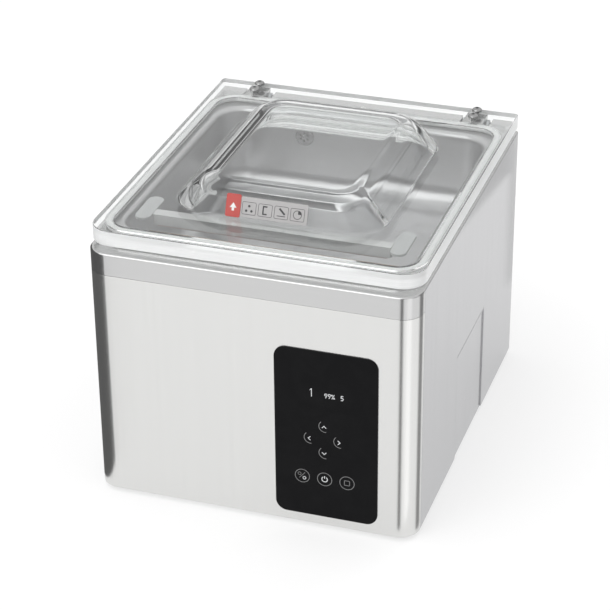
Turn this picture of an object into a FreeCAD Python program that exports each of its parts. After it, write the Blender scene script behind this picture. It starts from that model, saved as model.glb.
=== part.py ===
import FreeCAD, Part, Sketcher
import math
import os
from types import SimpleNamespace

Vector = FreeCAD.Vector
Rotation = FreeCAD.Rotation

# Table-top chamber vacuum sealer. Millimetres, +X right, +Y towards the hinge at the
# back, +Z up. The origin is on the table, under the middle of the machine.

DRIVING = {
    "body_width": 400, "body_depth": 472, "foot_height": 6, "body_top": 326,
    "gauge": 1.5, "seam": 0.3, "proud": 2, "corner_round": 25, "corner_run": 27,
    "skirt_edge": 298, "deck_fold": 2.5,
    "mouth_half": 187, "mouth_front": 204, "mouth_back": 192, "mouth_round": 33,
    "tub_half": 175, "tub_front": 189, "tub_back": 177, "tub_floor": 226,
    "tub_round": 35, "tub_sole": 25, "tub_lip": 7,
    "recess_front": 53, "recess_back": 81, "recess_top": 151, "recess_sink": 1.5,
    "recess_gap": 0.8,
    "panel_left": 30, "panel_wide": 125, "panel_foot": 18, "panel_tall": 224,
    "panel_round": 14, "panel_bevel": 0.8, "panel_margin": 8,
    "lid_front": 228, "lid_back": 234, "lid_under": 332, "lid_slab": 19,
    "lid_front_round": 28, "lid_back_round": 3,
    "dome_half": 130, "dome_front": 150, "dome_back": 138, "dome_round": 44,
    "shoulder_half": 106, "shoulder_front": 139, "shoulder_back": 133,
    "shoulder_round": 36, "shoulder_rise": 26,
    "crown_half": 91, "crown_front": 121, "crown_back": 116, "crown_round": 28,
    "crown_rise": 35, "dome_wall": 8, "label_left": 62, "label_right": 42,
    "gasket_half": 189, "gasket_front": 206, "gasket_back": 194, "gasket_round": 30,
    "gasket_wide": 10, "gasket_sunk": 5, "gasket_gap": 0.3,
    "hinge_side": 147, "axis_back": 227, "axis_up": 320, "pin_radius": 3,
    "barrel_radius": 6, "leaf_half": 13, "leaf_front": 201, "leaf_thick": 4,
    "coil_half": 6.5, "cheek_thick": 3.5, "cheek_radius": 7.5, "running_fit": 0.05,
    "bar_line": 150, "bar_half": 160, "bar_deep": 16, "bar_foot": 280, "bar_tall": 22,
    "rod_side": 120, "rod_radius": 5, "lift_radius": 12, "lift_top": 270,
    "counter_half": 145, "counter_deep": 14, "counter_foot": 319,
    "port_side": 68, "port_up": 303, "port_radius": 12,
    "foot_radius": 16, "foot_side": 165, "foot_line": 195,
    "inlet_side": 150, "inlet_up": 45, "rocker_up": 82, "rocker_axis": 233,
    "fan_side": 130, "fan_up": 95, "fan_size": 80, "fan_deep": 25,
    "shaft_line": 60, "shaft_up": 95, "shaft_radius": 8,
    "motor_end": 130, "pump_near": 20, "pump_far": 110, "plunger_line": 210,
}

doc = FreeCAD.newDocument("chamber_vacuum_sealer")
sheet = doc.addObject("Spreadsheet::Sheet", "Sheet")
for row, (alias, number) in enumerate(DRIVING.items(), start=1):
    sheet.set(f"A{row}", alias)
    sheet.set(f"B{row}", str(number))
    sheet.setAlias(f"B{row}", alias)
doc.recompute()


class Size:
    # A length that carries its number together with the sheet expression it comes from.
    def __init__(self, number, text):
        self.number = float(number)
        self.text = text

    def __float__(self):
        return self.number

    def __add__(self, other):
        other = as_size(other)
        return Size(self.number + other.number, f"({self.text} + {other.text})")

    def __sub__(self, other):
        other = as_size(other)
        return Size(self.number - other.number, f"({self.text} - {other.text})")

    def __mul__(self, factor):
        return Size(self.number * factor, f"({self.text} * {factor})")

    def __truediv__(self, factor):
        return Size(self.number / factor, f"({self.text} / {factor})")

    def __neg__(self):
        return Size(-self.number, f"(0 - {self.text})")

    def __radd__(self, other):
        return as_size(other) + self

    def __rsub__(self, other):
        return as_size(other) - self


def as_size(value):
    return value if isinstance(value, Size) else Size(value, f"({float(value)})")


d = SimpleNamespace(**{name: Size(sheet.get(name), f"Sheet.{name}") for name in DRIVING})

half_width = d.body_width / 2
half_depth = d.body_depth / 2
wall_in = half_width - d.gauge           # inner face of a side wall
deck_under = d.body_top - d.gauge
corner_end = half_depth - d.corner_run   # the rounded front corners end at y = -corner_end
floor_top = d.foot_height + d.gauge * 2  # upper face of the base plate
lid_top = d.lid_under + d.lid_slab
glass_face = half_depth + d.proud

AXES = {"x": Rotation(Vector(0, 1, 0), 90), "y": Rotation(Vector(1, 0, 0), -90),
        "z": Rotation()}
PLANES = {"xy": "XY_Plane", "xz": "XZ_Plane", "yz": "YZ_Plane"}


def bind(item, prop, value):
    item.setExpression(prop, as_size(value).text)


def put(item, at, turn=None):
    item.Placement = FreeCAD.Placement(Vector(*[float(v) for v in at]), turn or Rotation())
    for letter, value in zip("xyz", at):
        bind(item, f"Placement.Base.{letter}", value)
    return item


def box(low, high, label="block"):
    item = doc.addObject("Part::Box", label)
    for prop, a, b in zip(("Length", "Width", "Height"), low, high):
        bind(item, prop, as_size(b) - a)
    return put(item, low)


def rod(radius, start, length, at, along="z", label="rod"):
    # A round bar whose axis starts `start` along its direction from `at`.
    item = doc.addObject("Part::Cylinder", label)
    bind(item, "Radius", radius)
    bind(item, "Height", length)
    place = list(at)
    place["xyz".index(along)] = as_size(start)
    return put(item, place, AXES[along])


def ring(big, small, at, along="y", label="ring"):
    item = doc.addObject("Part::Torus", label)
    bind(item, "Radius1", big)
    bind(item, "Radius2", small)
    return put(item, at, AXES[along])


def fuse(items, label="joined"):
    item = doc.addObject("Part::MultiFuse", label)
    item.Shapes = items
    return item


def cut(base, tools, label="trimmed"):
    item = doc.addObject("Part::Cut", label)
    item.Base = base
    item.Tool = tools[0] if len(tools) == 1 else fuse(tools, label + "_tools")
    return item


def group(items, label):
    item = doc.addObject("Part::Compound", label)
    item.Links = items
    return item


def new_body(label, at=(0, 0, 0), turn=None):
    return put(doc.addObject("PartDesign::Body", label), at, turn)


def new_sketch(body, plane, offset=0):
    sketch = body.newObject("Sketcher::SketchObject", "outline")
    origin = [f for f in body.Origin.OriginFeatures if f.Role == PLANES[plane]][0]
    sketch.AttachmentSupport = [(origin, "")]
    sketch.MapMode = "FlatFace"
    bind(sketch, "AttachmentOffset.Base.z", offset)
    return sketch


def outline(sketch, corners):
    # A closed outline of level and upright lines; each corner is (across, up, round).
    line_of = []
    count = len(corners)
    points = [(float(c[0]), float(c[1]), float(c[2])) for c in corners]

    def step(i, towards):
        ax, ay, r = points[i]
        bx, by, _ = points[towards % count]
        run = math.hypot(bx - ax, by - ay)
        return Vector(ax + (bx - ax) * r / run, ay + (by - ay) * r / run, 0)

    for i in range(count):
        j = (i + 1) % count
        line_of.append(sketch.addGeometry(Part.LineSegment(step(i, i + 1), step(j, i)), False))
    for i in range(count):
        j = (i + 1) % count
        level = abs(points[i][1] - points[j][1]) < 1e-9
        sketch.addConstraint(Sketcher.Constraint("Horizontal" if level else "Vertical",
                                                 line_of[i]))
        kind, value = ("DistanceY", corners[i][1]) if level else ("DistanceX", corners[i][0])
        held = sketch.addConstraint(Sketcher.Constraint(kind, -1, 1, line_of[i], 1,
                                                        float(value)))
        bind(sketch, f"Constraints[{held}]", value)
    for i in range(count):
        before, after = line_of[i - 1], line_of[i]
        x, y, r = points[i]
        if r == 0:
            sketch.addConstraint(Sketcher.Constraint("Coincident", before, 2, after, 1))
            continue
        a, b = step(i, i - 1), step(i, i + 1)
        centre = Vector(a.x + b.x - x, a.y + b.y - y, 0)
        turn = (a - centre).cross(b - centre).z
        first, last = (a, b) if turn > 0 else (b, a)
        angles = [math.atan2(p.y - centre.y, p.x - centre.x) for p in (first, last)]
        circle = Part.Circle(centre, Vector(0, 0, 1), r)
        arc = sketch.addGeometry(Part.ArcOfCircle(circle, *angles), False)
        ends = (1, 2) if turn > 0 else (2, 1)
        sketch.addConstraint(Sketcher.Constraint("Tangent", before, 2, arc, ends[0]))
        sketch.addConstraint(Sketcher.Constraint("Tangent", arc, ends[1], after, 1))
        held = sketch.addConstraint(Sketcher.Constraint("Radius", arc, r))
        bind(sketch, f"Constraints[{held}]", corners[i][2])
    return sketch


def hole(sketch, x, y, radius):
    circle = Part.Circle(Vector(float(x), float(y), 0), Vector(0, 0, 1), float(radius))
    index = sketch.addGeometry(circle, False)
    for kind, value in (("DistanceX", x), ("DistanceY", y)):
        held = sketch.addConstraint(Sketcher.Constraint(kind, -1, 1, index, 3, float(value)))
        bind(sketch, f"Constraints[{held}]", value)
    held = sketch.addConstraint(Sketcher.Constraint("Radius", index, float(radius)))
    bind(sketch, f"Constraints[{held}]", radius)


def rectangle(left, low, right, high, round_all=0):
    return [(left, low, round_all), (right, low, round_all),
            (right, high, round_all), (left, high, round_all)]


def pad(body, sketch, length):
    feature = body.newObject("PartDesign::Pad", "pad")
    feature.Profile = sketch
    bind(feature, "Length", length)
    return feature


def pocket(body, sketch, length=None):
    # Through everything both ways, or `length` deep along the sketch's own direction.
    feature = body.newObject("PartDesign::Pocket", "pocket")
    feature.Profile = sketch
    if length is None:
        feature.Type = "ThroughAll"
        feature.Midplane = True
    else:
        feature.Reversed = True
        bind(feature, "Length", length)
    return feature


def dress(body, kind, size, chosen):
    # Rounds or bevels every edge of the body so far that `chosen` accepts.
    doc.recompute()
    tip = body.Tip
    names = [f"Edge{i}" for i, e in enumerate(tip.Shape.Edges, 1) if chosen(e.BoundBox)]
    feature = body.newObject(f"PartDesign::{kind}", kind.lower())
    feature.Base = (tip, names)
    bind(feature, "Radius" if kind == "Fillet" else "Size", size)
    return feature


def plate(label, corners, thick, plane, at, inner=None, holes=()):
    body = new_body(label, at)
    sketch = outline(new_sketch(body, plane), corners)
    if inner:
        outline(sketch, inner)
    for x, y, radius in holes:
        hole(sketch, x, y, radius)
    pad(body, sketch, thick)
    return body


def turned(label, profile, at, along="z"):
    # A lathe part: the profile is (radius, height) points, turned about its own axis.
    body = new_body(label, at, AXES[along])
    sketch = new_sketch(body, "xz")
    points = [Vector(float(a), float(b), 0) for a, b in profile]
    count = len(points)
    for i in range(count):
        sketch.addGeometry(Part.LineSegment(points[i], points[(i + 1) % count]), False)
    for i in range(count):
        sketch.addConstraint(Sketcher.Constraint("Coincident", i, 2, (i + 1) % count, 1))
        for kind, value in zip(("DistanceX", "DistanceY"), profile[i]):
            held = sketch.addConstraint(Sketcher.Constraint(kind, -1, 1, i, 1, float(value)))
            bind(sketch, f"Constraints[{held}]", value)
    feature = body.newObject("PartDesign::Revolution", "turning")
    feature.Profile = sketch
    feature.ReferenceAxis = (sketch, ["V_Axis"])
    feature.Angle = 360
    return body


def fixed_shape(label, shape):
    item = doc.addObject("Part::Feature", label)
    item.Shape = shape
    return item


def round_loop(half, front, back, corner, z, back_corner=None):
    # Wire of a rectangle x = -half..half, y = -front..back with rounded corners.
    half, front, back, z = float(half), float(front), float(back), float(z)
    near, far = float(corner), float(corner if back_corner is None else back_corner)
    spots = [(-half, -front, near), (half, -front, near), (half, back, far), (-half, back, far)]
    ways = [(1, 0), (0, 1), (-1, 0), (0, -1)]
    edges = []
    for i, (x, y, r) in enumerate(spots):
        into, out = ways[i - 1], ways[i]
        start = Vector(x - into[0] * r, y - into[1] * r, z)
        end = Vector(x + out[0] * r, y + out[1] * r, z)
        slack = r * (1 - math.sqrt(0.5))
        middle = Vector(x + (out[0] - into[0]) * slack, y + (out[1] - into[1]) * slack, z)
        nx, ny, nr = spots[(i + 1) % 4]
        nxt = Vector(nx - out[0] * nr, ny - out[1] * nr, z)
        edges.append(Part.Arc(start, middle, end).toShape())
        edges.append(Part.LineSegment(end, nxt).toShape())
    return Part.Wire(edges)


def block_of(wire, height):
    return Part.Face(wire).extrude(Vector(0, 0, float(height)))


def edges_at(shape, z):
    z = float(z)
    return [e for e in shape.Edges
            if abs(e.BoundBox.ZMin - z) < 0.01 and abs(e.BoundBox.ZMax - z) < 0.01]


def inside_edges(edges, half, front, back):
    # The edges that keep within x = -half..half, y = -front..back.
    half, front, back = float(half), float(front), float(back)
    return [e for e in edges if abs(e.BoundBox.XMin) < half and abs(e.BoundBox.XMax) < half
            and e.BoundBox.YMin > -front and e.BoundBox.YMax < back]


def tube_along(points, bends, outer, inner):
    # A hose of straight runs joined by tangent arcs, hollow from end to end.
    edges, start = [], Vector(*points[0])
    for i in range(1, len(points) - 1):
        here = Vector(*points[i])
        back = (Vector(*points[i - 1]) - here).normalize()
        ahead = (Vector(*points[i + 1]) - here).normalize()
        a, b = here + back * bends, here + ahead * bends
        centre = here + (back + ahead) * bends
        middle = centre + (here - centre).normalize() * bends
        edges += [Part.LineSegment(start, a).toShape(), Part.Arc(a, middle, b).toShape()]
        start = b
    edges.append(Part.LineSegment(start, Vector(*points[-1])).toShape())
    path = Part.Wire(edges)
    way = (Vector(*points[1]) - Vector(*points[0])).normalize()
    solids = []
    for radius in (outer, inner):
        profile = Part.Wire([Part.makeCircle(radius, Vector(*points[0]), way)])
        solids.append(path.makePipeShell([profile], True, True))
    return solids[0].cut(solids[1])


# ---- sheet-metal casing -------------------------------------------------------------

def front_casing():
    body = new_body("front_casing", (0, 0, d.foot_height))
    inner_round = d.corner_round - d.gauge
    front_in = half_depth - d.gauge
    wrap = outline(new_sketch(body, "xy"), [
        (-half_width, -corner_end, 0), (-half_width, -half_depth, d.corner_round),
        (half_width, -half_depth, d.corner_round), (half_width, -corner_end, 0),
        (wall_in, -corner_end, 0), (wall_in, -front_in, inner_round),
        (-wall_in, -front_in, inner_round), (-wall_in, -corner_end, 0)])
    pad(body, wrap, d.skirt_edge - d.seam - d.foot_height)
    flange_in, flange_line, mid = half_width - 16, half_depth - 16, d.gauge / 2
    lip = outline(new_sketch(body, "xy"), [
        (-(wall_in + mid), -corner_end, 0),
        (-(wall_in + mid), -(front_in + mid), inner_round + mid),
        (wall_in + mid, -(front_in + mid), inner_round + mid), (wall_in + mid, -corner_end, 0),
        (flange_in, -corner_end, 0), (flange_in, -flange_line, 5),
        (-flange_in, -flange_line, 5), (-flange_in, -corner_end, 0)])
    pad(body, lip, d.gauge)
    m = d.panel_margin
    low = d.panel_foot - d.foot_height
    window = outline(new_sketch(body, "xz"), rectangle(
        d.panel_left + m, low + m, d.panel_left + d.panel_wide - m, low + d.panel_tall - m, 6))
    pocket(body, window)
    for radius, reach in ((3, 2.5), (1.5, 8)):      # clinch studs that hold the control board
        studs = new_sketch(body, "xz", half_depth - d.gauge)
        for x, z in stud_spots():
            hole(studs, x, z - d.foot_height, radius)
        pad(body, studs, reach).Reversed = True
    return body


def stud_spots():
    return [(x, z) for x in (d.panel_left + 5, d.panel_left + d.panel_wide - 5)
            for z in (d.panel_foot + 10, d.panel_foot + d.panel_tall - 10)]


def top_deck():
    body = new_body("top_deck", (0, 0, d.skirt_edge))
    inner_round = d.corner_round - d.gauge
    slab = outline(new_sketch(body, "xy"), [
        (-half_width, -half_depth, d.corner_round), (half_width, -half_depth, d.corner_round),
        (half_width, half_depth, 0), (-half_width, half_depth, 0)])
    pad(body, slab, d.body_top - d.skirt_edge)
    beyond = 5
    cavity = outline(new_sketch(body, "xy"), [
        (-wall_in, -corner_end, 0), (-wall_in, -(half_depth - d.gauge), inner_round),
        (wall_in, -(half_depth - d.gauge), inner_round), (wall_in, -corner_end, 0),
        (half_width + beyond, -corner_end, 0), (half_width + beyond, half_depth + beyond, 0),
        (-(half_width + beyond), half_depth + beyond, 0),
        (-(half_width + beyond), -corner_end, 0)])
    pocket(body, cavity, deck_under - d.skirt_edge)
    mouth = outline(new_sketch(body, "xy"), rectangle(
        -d.mouth_half, -d.mouth_front, d.mouth_half, d.mouth_back, d.mouth_round))
    notch = d.leaf_half + 7
    for side in (-1, 1):
        middle = d.hinge_side * side
        outline(mouth, rectangle(middle - notch, d.axis_back - 15, middle + notch,
                                 half_depth + beyond))
    hole(mouth, 0, d.plunger_line, 4.3)
    pocket(body, mouth)
    top, end = float(d.body_top - d.skirt_edge), -float(corner_end)
    dress(body, "Fillet", d.deck_fold,
          lambda e: abs(e.ZMin - top) < 0.01 and e.YMax < end + 0.01 and e.YMin < end - 10)
    return body


def side_panel(side, label):
    outer = [
        (-(corner_end - d.seam), d.foot_height, 0), (-d.recess_front, d.foot_height, 0),
        (-d.recess_front, d.recess_top + d.recess_gap, 0),
        (d.recess_back, d.recess_top + d.recess_gap, 0),
        (d.recess_back, d.foot_height, 0),
        (half_depth, d.foot_height, 0), (half_depth, deck_under - d.seam, 0),
        (-(corner_end - d.seam), deck_under - d.seam, 0)]
    edge = wall_in if side > 0 else -half_width
    return plate(label, outer, d.gauge, "yz", (edge, 0, 0))


def side_recess(side, label):
    sunk = d.recess_sink + d.gauge
    faces = sorted([half_width * side, (half_width - sunk) * side], key=float)
    inner = sorted([(half_width + 1) * side, (half_width - d.recess_sink) * side], key=float)
    shell = box((faces[0], -d.recess_front, d.foot_height),
                (faces[1], d.recess_back, d.recess_top))
    room = box((inner[0], -(d.recess_front - d.gauge), d.foot_height - 1),
               (inner[1], d.recess_back - d.gauge, d.recess_top - d.gauge))
    return cut(shell, [room], label)


def chamber_tub():
    inner = block_of(round_loop(d.tub_half, d.tub_front, d.tub_back, d.tub_round, d.tub_floor),
                     d.body_top - d.tub_floor)
    inner = inner.makeFillet(float(d.tub_sole), edges_at(inner, d.tub_floor))
    above = block_of(round_loop(d.mouth_half + 20, d.mouth_front + 20, d.mouth_back + 20, 20,
                                d.body_top), 10)
    inner = inner.fuse(above).removeSplitter()
    lip = inside_edges(edges_at(inner, d.body_top), d.mouth_half, d.mouth_front, d.mouth_back)
    inner = inner.makeFillet(float(d.tub_lip), lip)
    g = d.gauge
    outer = block_of(round_loop(d.tub_half + g, d.tub_front + g, d.tub_back + g,
                                d.tub_round + g, d.tub_floor - g), d.body_top - d.tub_floor + g)
    outer = outer.makeFillet(float(d.tub_sole + g), edges_at(outer, d.tub_floor - g))
    flange = block_of(round_loop(d.mouth_half, d.mouth_front, d.mouth_back, d.mouth_round,
                                 deck_under), g)
    outer = outer.fuse(flange).removeSplitter()
    under = inside_edges(edges_at(outer, deck_under), d.tub_half + 4, d.tub_front + 4,
                         d.tub_back + 4)
    outer = outer.makeFillet(float(d.tub_lip - g), under)
    shell = outer.cut(inner)
    port = Part.makeCylinder(9, 10, Vector(-float(d.port_side), float(d.tub_back) - 4,
                                           float(d.port_up)), Vector(0, 1, 0))
    return fixed_shape("chamber_tub", shell.cut(port))


REAR_SCREWS = [(x, z) for x in (-190, 190) for z in (20, 165, 300)] + [(0, 20), (0, 312)]
FAN_BOLT = 35.75


def rear_screw_spots():
    fan = [(float(d.fan_side) + a * FAN_BOLT, float(d.fan_up) + b * FAN_BOLT)
           for a in (-1, 1) for b in (-1, 1)]
    inlet = [(-float(d.inlet_side) + a * 20, float(d.inlet_up)) for a in (-1, 1)]
    return REAR_SCREWS + fan + inlet


def rear_panel():
    edge = wall_in - 0.1
    body = new_body("rear_panel", (0, half_depth, 0))
    notch, top = d.leaf_half + 7, deck_under - d.seam
    step_z = 306
    left, right = -d.hinge_side, d.hinge_side
    sheet_line = [(-edge, d.foot_height, 0), (edge, d.foot_height, 0), (edge, top, 0)]
    for middle in (right, left):
        sheet_line += [(middle + notch, top, 0), (middle + notch, step_z, 0),
                       (middle - notch, step_z, 0), (middle - notch, top, 0)]
    sheet_line.append((-edge, top, 0))
    sketch = outline(new_sketch(body, "xz"), sheet_line)
    hole(sketch, d.fan_side, d.fan_up, 37)
    x, z = -d.inlet_side, d.inlet_up
    outline(sketch, rectangle(x - 13.7, z - 15.7, x + 13.7, z + 15.7))
    z = d.rocker_up
    outline(sketch, rectangle(x - 10.2, z - 14.5, x + 10.2, z + 14.5))
    for sx, sz in rear_screw_spots():
        hole(sketch, sx, sz, 2.1)
    for row in range(9):
        low = 170 + row * 12
        outline(sketch, rectangle(-60, low, 60, low + 4))
    made = pad(body, sketch, d.gauge)
    made.Reversed = True
    put(body, (0, half_depth - d.gauge, 0))
    return body


def base_plate():
    edge = wall_in - d.seam
    line = half_depth - d.gauge - d.seam
    corner = d.corner_round - d.gauge - d.seam
    waist = half_width - d.recess_sink - d.gauge - d.seam     # clear of the sunk side pockets
    near, far = -(d.recess_front + d.seam), d.recess_back + d.seam
    corners = [(-edge, -line, corner), (edge, -line, corner),
               (edge, near, 0), (waist, near, 0), (waist, far, 0), (edge, far, 0),
               (edge, line, 0), (-edge, line, 0),
               (-edge, far, 0), (-waist, far, 0), (-waist, near, 0), (-edge, near, 0)]
    holes = [(x, y, 2.2) for x, y in foot_spots()]
    body = plate("base_plate", corners, d.gauge, "xy", (0, 0, d.foot_height + d.gauge),
                 holes=holes)
    vents = new_sketch(body, "xy")
    for row in range(6):
        left = 40 + row * 14
        outline(vents, rectangle(left, -170, left + 6, -90))
    pocket(body, vents)
    return body


def foot_spots():
    return [(d.foot_side * a, d.foot_line * b) for a in (-1, 1) for b in (-1, 1)]


def rubber_feet():
    top = d.foot_height + d.gauge
    profile = [(5, 0), (d.foot_radius - 2, 0), (d.foot_radius, 2), (d.foot_radius - 1, top),
               (2.2, top), (2.2, 4), (5, 4)]
    return group([turned("foot", profile, (x, y, 0)) for x, y in foot_spots()], "rubber_feet")


def foot_screws():
    profile = [(0, 1), (4.4, 1), (4.4, 4), (2.1, 4), (2.1, 16), (0, 16)]
    return group([turned("screw", profile, (x, y, 0)) for x, y in foot_spots()],
                 "foot_screws")


def rear_panel_screws():
    profile = [(0, -8), (2, -8), (2, 0), (3.5, 0), (3.3, 1.1), (2.4, 1.8), (0, 2)]
    return group([turned("screw", profile, (x, half_depth, z), "y")
                  for x, z in rear_screw_spots()], "rear_panel_screws")


# ---- control panel ------------------------------------------------------------------

def control_glass():
    body = plate("control_glass", rectangle(
        d.panel_left, d.panel_foot, d.panel_left + d.panel_wide, d.panel_foot + d.panel_tall,
        d.panel_round), d.proud, "xz", (0, -half_depth, 0))
    front = -float(d.proud)
    dress(body, "Chamfer", d.panel_bevel,
          lambda e: abs(e.YMin - front) < 0.01 and abs(e.YMax - front) < 0.01)
    return body


def control_pcb():
    left, low = d.panel_left + 2, d.panel_foot + 4
    right, high = d.panel_left + d.panel_wide - 2, d.panel_foot + d.panel_tall - 4
    holes = [(x, z, 1.6) for x, z in stud_spots()]
    return plate("control_pcb", rectangle(left, low, right, high), 1.6, "xz",
                 (0, -half_depth + 5.6, 0), holes=holes)


def display_module():
    x, z = d.panel_left + d.panel_wide / 2, d.panel_foot + 160
    return box((x - 24, -half_depth + 0.2, z - 13), (x + 24, -half_depth + 4, z + 13),
               "display_module")


# ---- lid ----------------------------------------------------------------------------

def lid():
    slab = block_of(round_loop(half_width, d.lid_front, d.lid_back, d.lid_front_round,
                               d.lid_under, d.lid_back_round), d.lid_slab)
    outer = Part.makeLoft([
        round_loop(d.dome_half, d.dome_front, d.dome_back, d.dome_round, lid_top),
        round_loop(d.shoulder_half, d.shoulder_front, d.shoulder_back, d.shoulder_round,
                   lid_top + d.shoulder_rise),
        round_loop(d.crown_half, d.crown_front, d.crown_back, d.crown_round,
                   lid_top + d.crown_rise)], True, True)
    w = d.dome_wall
    room = Part.makeLoft([
        round_loop(d.dome_half - w, d.dome_front - w, d.dome_back - w, d.dome_round - 4,
                   d.lid_under),
        round_loop(d.shoulder_half - w, d.shoulder_front - w, d.shoulder_back - w,
                   d.shoulder_round - 4, lid_top + d.shoulder_rise - w),
        round_loop(d.crown_half - w, d.crown_front - w, d.crown_back - w,
                   d.crown_round - 4, lid_top + d.crown_rise - w)], True, True)
    spare = d.gasket_wide / 2
    groove = block_of(round_loop(d.gasket_half + spare, d.gasket_front + spare,
                                 d.gasket_back + spare, d.gasket_round + spare, d.lid_under),
                      d.gasket_sunk)
    island = block_of(round_loop(d.gasket_half - spare, d.gasket_front - spare,
                                 d.gasket_back - spare, d.gasket_round - spare, d.lid_under),
                      d.gasket_sunk)
    shape = slab.fuse(outer).cut(room).cut(groove.cut(island)).removeSplitter()
    for x, y in lid_screw_spots():
        shape = shape.cut(Part.makeCylinder(2.6, 40, Vector(float(x), float(y), 325)))
    return fixed_shape("lid", shape)


def lid_screw_spots():
    return [(d.hinge_side * a, d.axis_back + b) for a in (-1, 1) for b in (1, -19)]


def lid_gasket():
    spare = d.gasket_wide / 2

    def loop(grow):
        return [(x, y, d.gasket_round + grow) for x, y in (
            (-(d.gasket_half + grow), -(d.gasket_front + grow)),
            (d.gasket_half + grow, -(d.gasket_front + grow)),
            (d.gasket_half + grow, d.gasket_back + grow),
            (-(d.gasket_half + grow), d.gasket_back + grow))]

    low = d.body_top + d.gasket_gap
    return plate("lid_gasket", loop(spare), d.lid_under + d.gasket_sunk - low, "xy",
                 (0, 0, low), inner=loop(-spare))


def counter_bar():
    deep = d.counter_deep / 2
    return plate("counter_bar", rectangle(-d.counter_half, -(d.bar_line + deep), d.counter_half,
                                          -(d.bar_line - deep), 2),
                 d.lid_under - d.counter_foot, "xy", (0, 0, d.counter_foot))


def silicone_strip():
    return box((-(d.counter_half - 5), -(d.bar_line + 5), d.counter_foot - 2.5),
               (d.counter_half - 5, -(d.bar_line - 5), d.counter_foot), "silicone_strip")


def counter_bar_mounts():
    pads = []
    for side in (-1, 1):
        middle = 155 * side
        pads.append(plate("pad", rectangle(middle - 9.5, -170, middle + 9.5, -112, 9.4), 3,
                          "xy", (0, 0, d.lid_under - 3)))
    return group(pads, "counter_bar_mounts")


def hinge_leaves():
    leaves = []
    for side in (-1, 1):
        x = d.hinge_side * side
        leaf = box((x - d.leaf_half, d.leaf_front, d.lid_under - d.leaf_thick),
                   (x + d.leaf_half, d.lid_back, d.lid_under))
        knuckles, r = [], d.barrel_radius
        for start in (x - d.leaf_half, x + d.coil_half):
            run = d.leaf_half - d.coil_half
            knuckles.append(box((start, d.axis_back - r, d.axis_up),
                                (start + run, d.axis_back + r, d.lid_under - d.leaf_thick + 1)))
            knuckles.append(rod(r, start, run, (0, d.axis_back, d.axis_up), "x"))
        bore = rod(d.pin_radius + d.running_fit, x - 20, 40, (0, d.axis_back, d.axis_up), "x")
        screws = [rod(2.6, d.lid_under - 10, 15, (x, d.axis_back + b, 0)) for b in (-19,)]
        screws.append(rod(2.6, d.lid_under - 3, 8, (x, d.axis_back + 1, 0)))
        leaves.append(cut(fuse([leaf] + knuckles), [bore] + screws, "leaf"))
    return group(leaves, "hinge_leaves")


def lid_screws():
    profile = [(0, -22), (2.5, -22), (2.5, 0), (6.5, 0), (6.2, 1.6), (4.9, 3.1), (2.6, 3.9),
               (0, 4.2)]
    return group([turned("screw", profile, (x, y, lid_top)) for x, y in lid_screw_spots()],
                 "lid_screws")


def dome_label():
    # A printed strip lying on the dome's leaning front wall.
    lean = math.atan2(float(d.dome_front - d.shoulder_front), float(d.shoulder_rise))
    thick, clear = 0.4, 1.5
    item = doc.addObject("Part::Box", "dome_label")
    bind(item, "Length", d.label_left + d.label_right)
    item.Width, item.Height = thick, 24
    y = -d.dome_front + (clear * math.sin(lean) - thick * math.cos(lean))
    z = lid_top + (clear * math.cos(lean) + thick * math.sin(lean))
    return put(item, (-d.label_left, y, z), Rotation(Vector(1, 0, 0), -math.degrees(lean)))


# ---- hinge --------------------------------------------------------------------------

def hinge_brackets():
    made = []
    for side in (-1, 1):
        x = d.hinge_side * side
        r, back = d.cheek_radius, half_depth - d.gauge - 0.1
        clear = d.leaf_half + 0.5
        web = box((x - clear - d.cheek_thick, back - d.gauge, 285),
                  (x + clear + d.cheek_thick, back, 305))
        cheeks = [web]
        for start in (x - clear - d.cheek_thick, x + clear):
            cheeks.append(box((start, d.axis_back - r, 285),
                              (start + d.cheek_thick, back, d.axis_up)))
            cheeks.append(rod(r, start, d.cheek_thick, (0, d.axis_back, d.axis_up), "x"))
        bore = rod(d.pin_radius, x - 30, 60, (0, d.axis_back, d.axis_up), "x")
        proud = box((x - 30, back, d.axis_up - 40), (x + 30, back + 20, d.axis_up + 20))
        made.append(cut(fuse(cheeks), [bore, proud], "bracket"))
    return group(made, "hinge_brackets")


def hinge_pins():
    reach = d.leaf_half + 0.5 + d.cheek_thick
    r = d.pin_radius
    profile = [(0, -reach), (r, -reach), (r, reach), (r + 1.5, reach), (r + 1.5, reach + 1.5),
               (0, reach + 1.5)]
    return group([turned("pin", profile, (d.hinge_side * a, d.axis_back, d.axis_up), "x")
                  for a in (-1, 1)], "hinge_pins")


def hinge_springs():
    wire, turns_long, mean = 0.7, float(d.coil_half) * 2 - 2.4, float(d.pin_radius) + 1.4
    coils = []
    for side in (-1, 1):
        helix = Part.makeHelix(turns_long / 5, turns_long, mean)
        profile = Part.Wire([Part.makeCircle(wire, Vector(mean, 0, 0), Vector(0, 1, 0))])
        coil = Part.Wire(helix).makePipeShell([profile], True, True)
        start = Vector(float(d.hinge_side) * side - turns_long / 2, float(d.axis_back),
                       float(d.axis_up))
        coil.Placement = FreeCAD.Placement(start, AXES["x"])
        coils.append(coil)
    return fixed_shape("hinge_springs", Part.makeCompound(coils))


def lid_switch_body():
    y = d.plunger_line
    block = box((-10, y - 7, 292), (10, y + 7, deck_under))
    bore = rod(4 + d.running_fit, 298, 40, (0, y, 0))
    return cut(block, [bore], "lid_switch_body")


def lid_switch_plunger():
    top = d.lid_under - 0.3
    return turned("lid_switch_plunger", [(0, 303), (4, 303), (4, top - 1.5), (2.5, top), (0, top)],
                  (0, d.plunger_line, 0))


# ---- sealing bar --------------------------------------------------------------------

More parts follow.
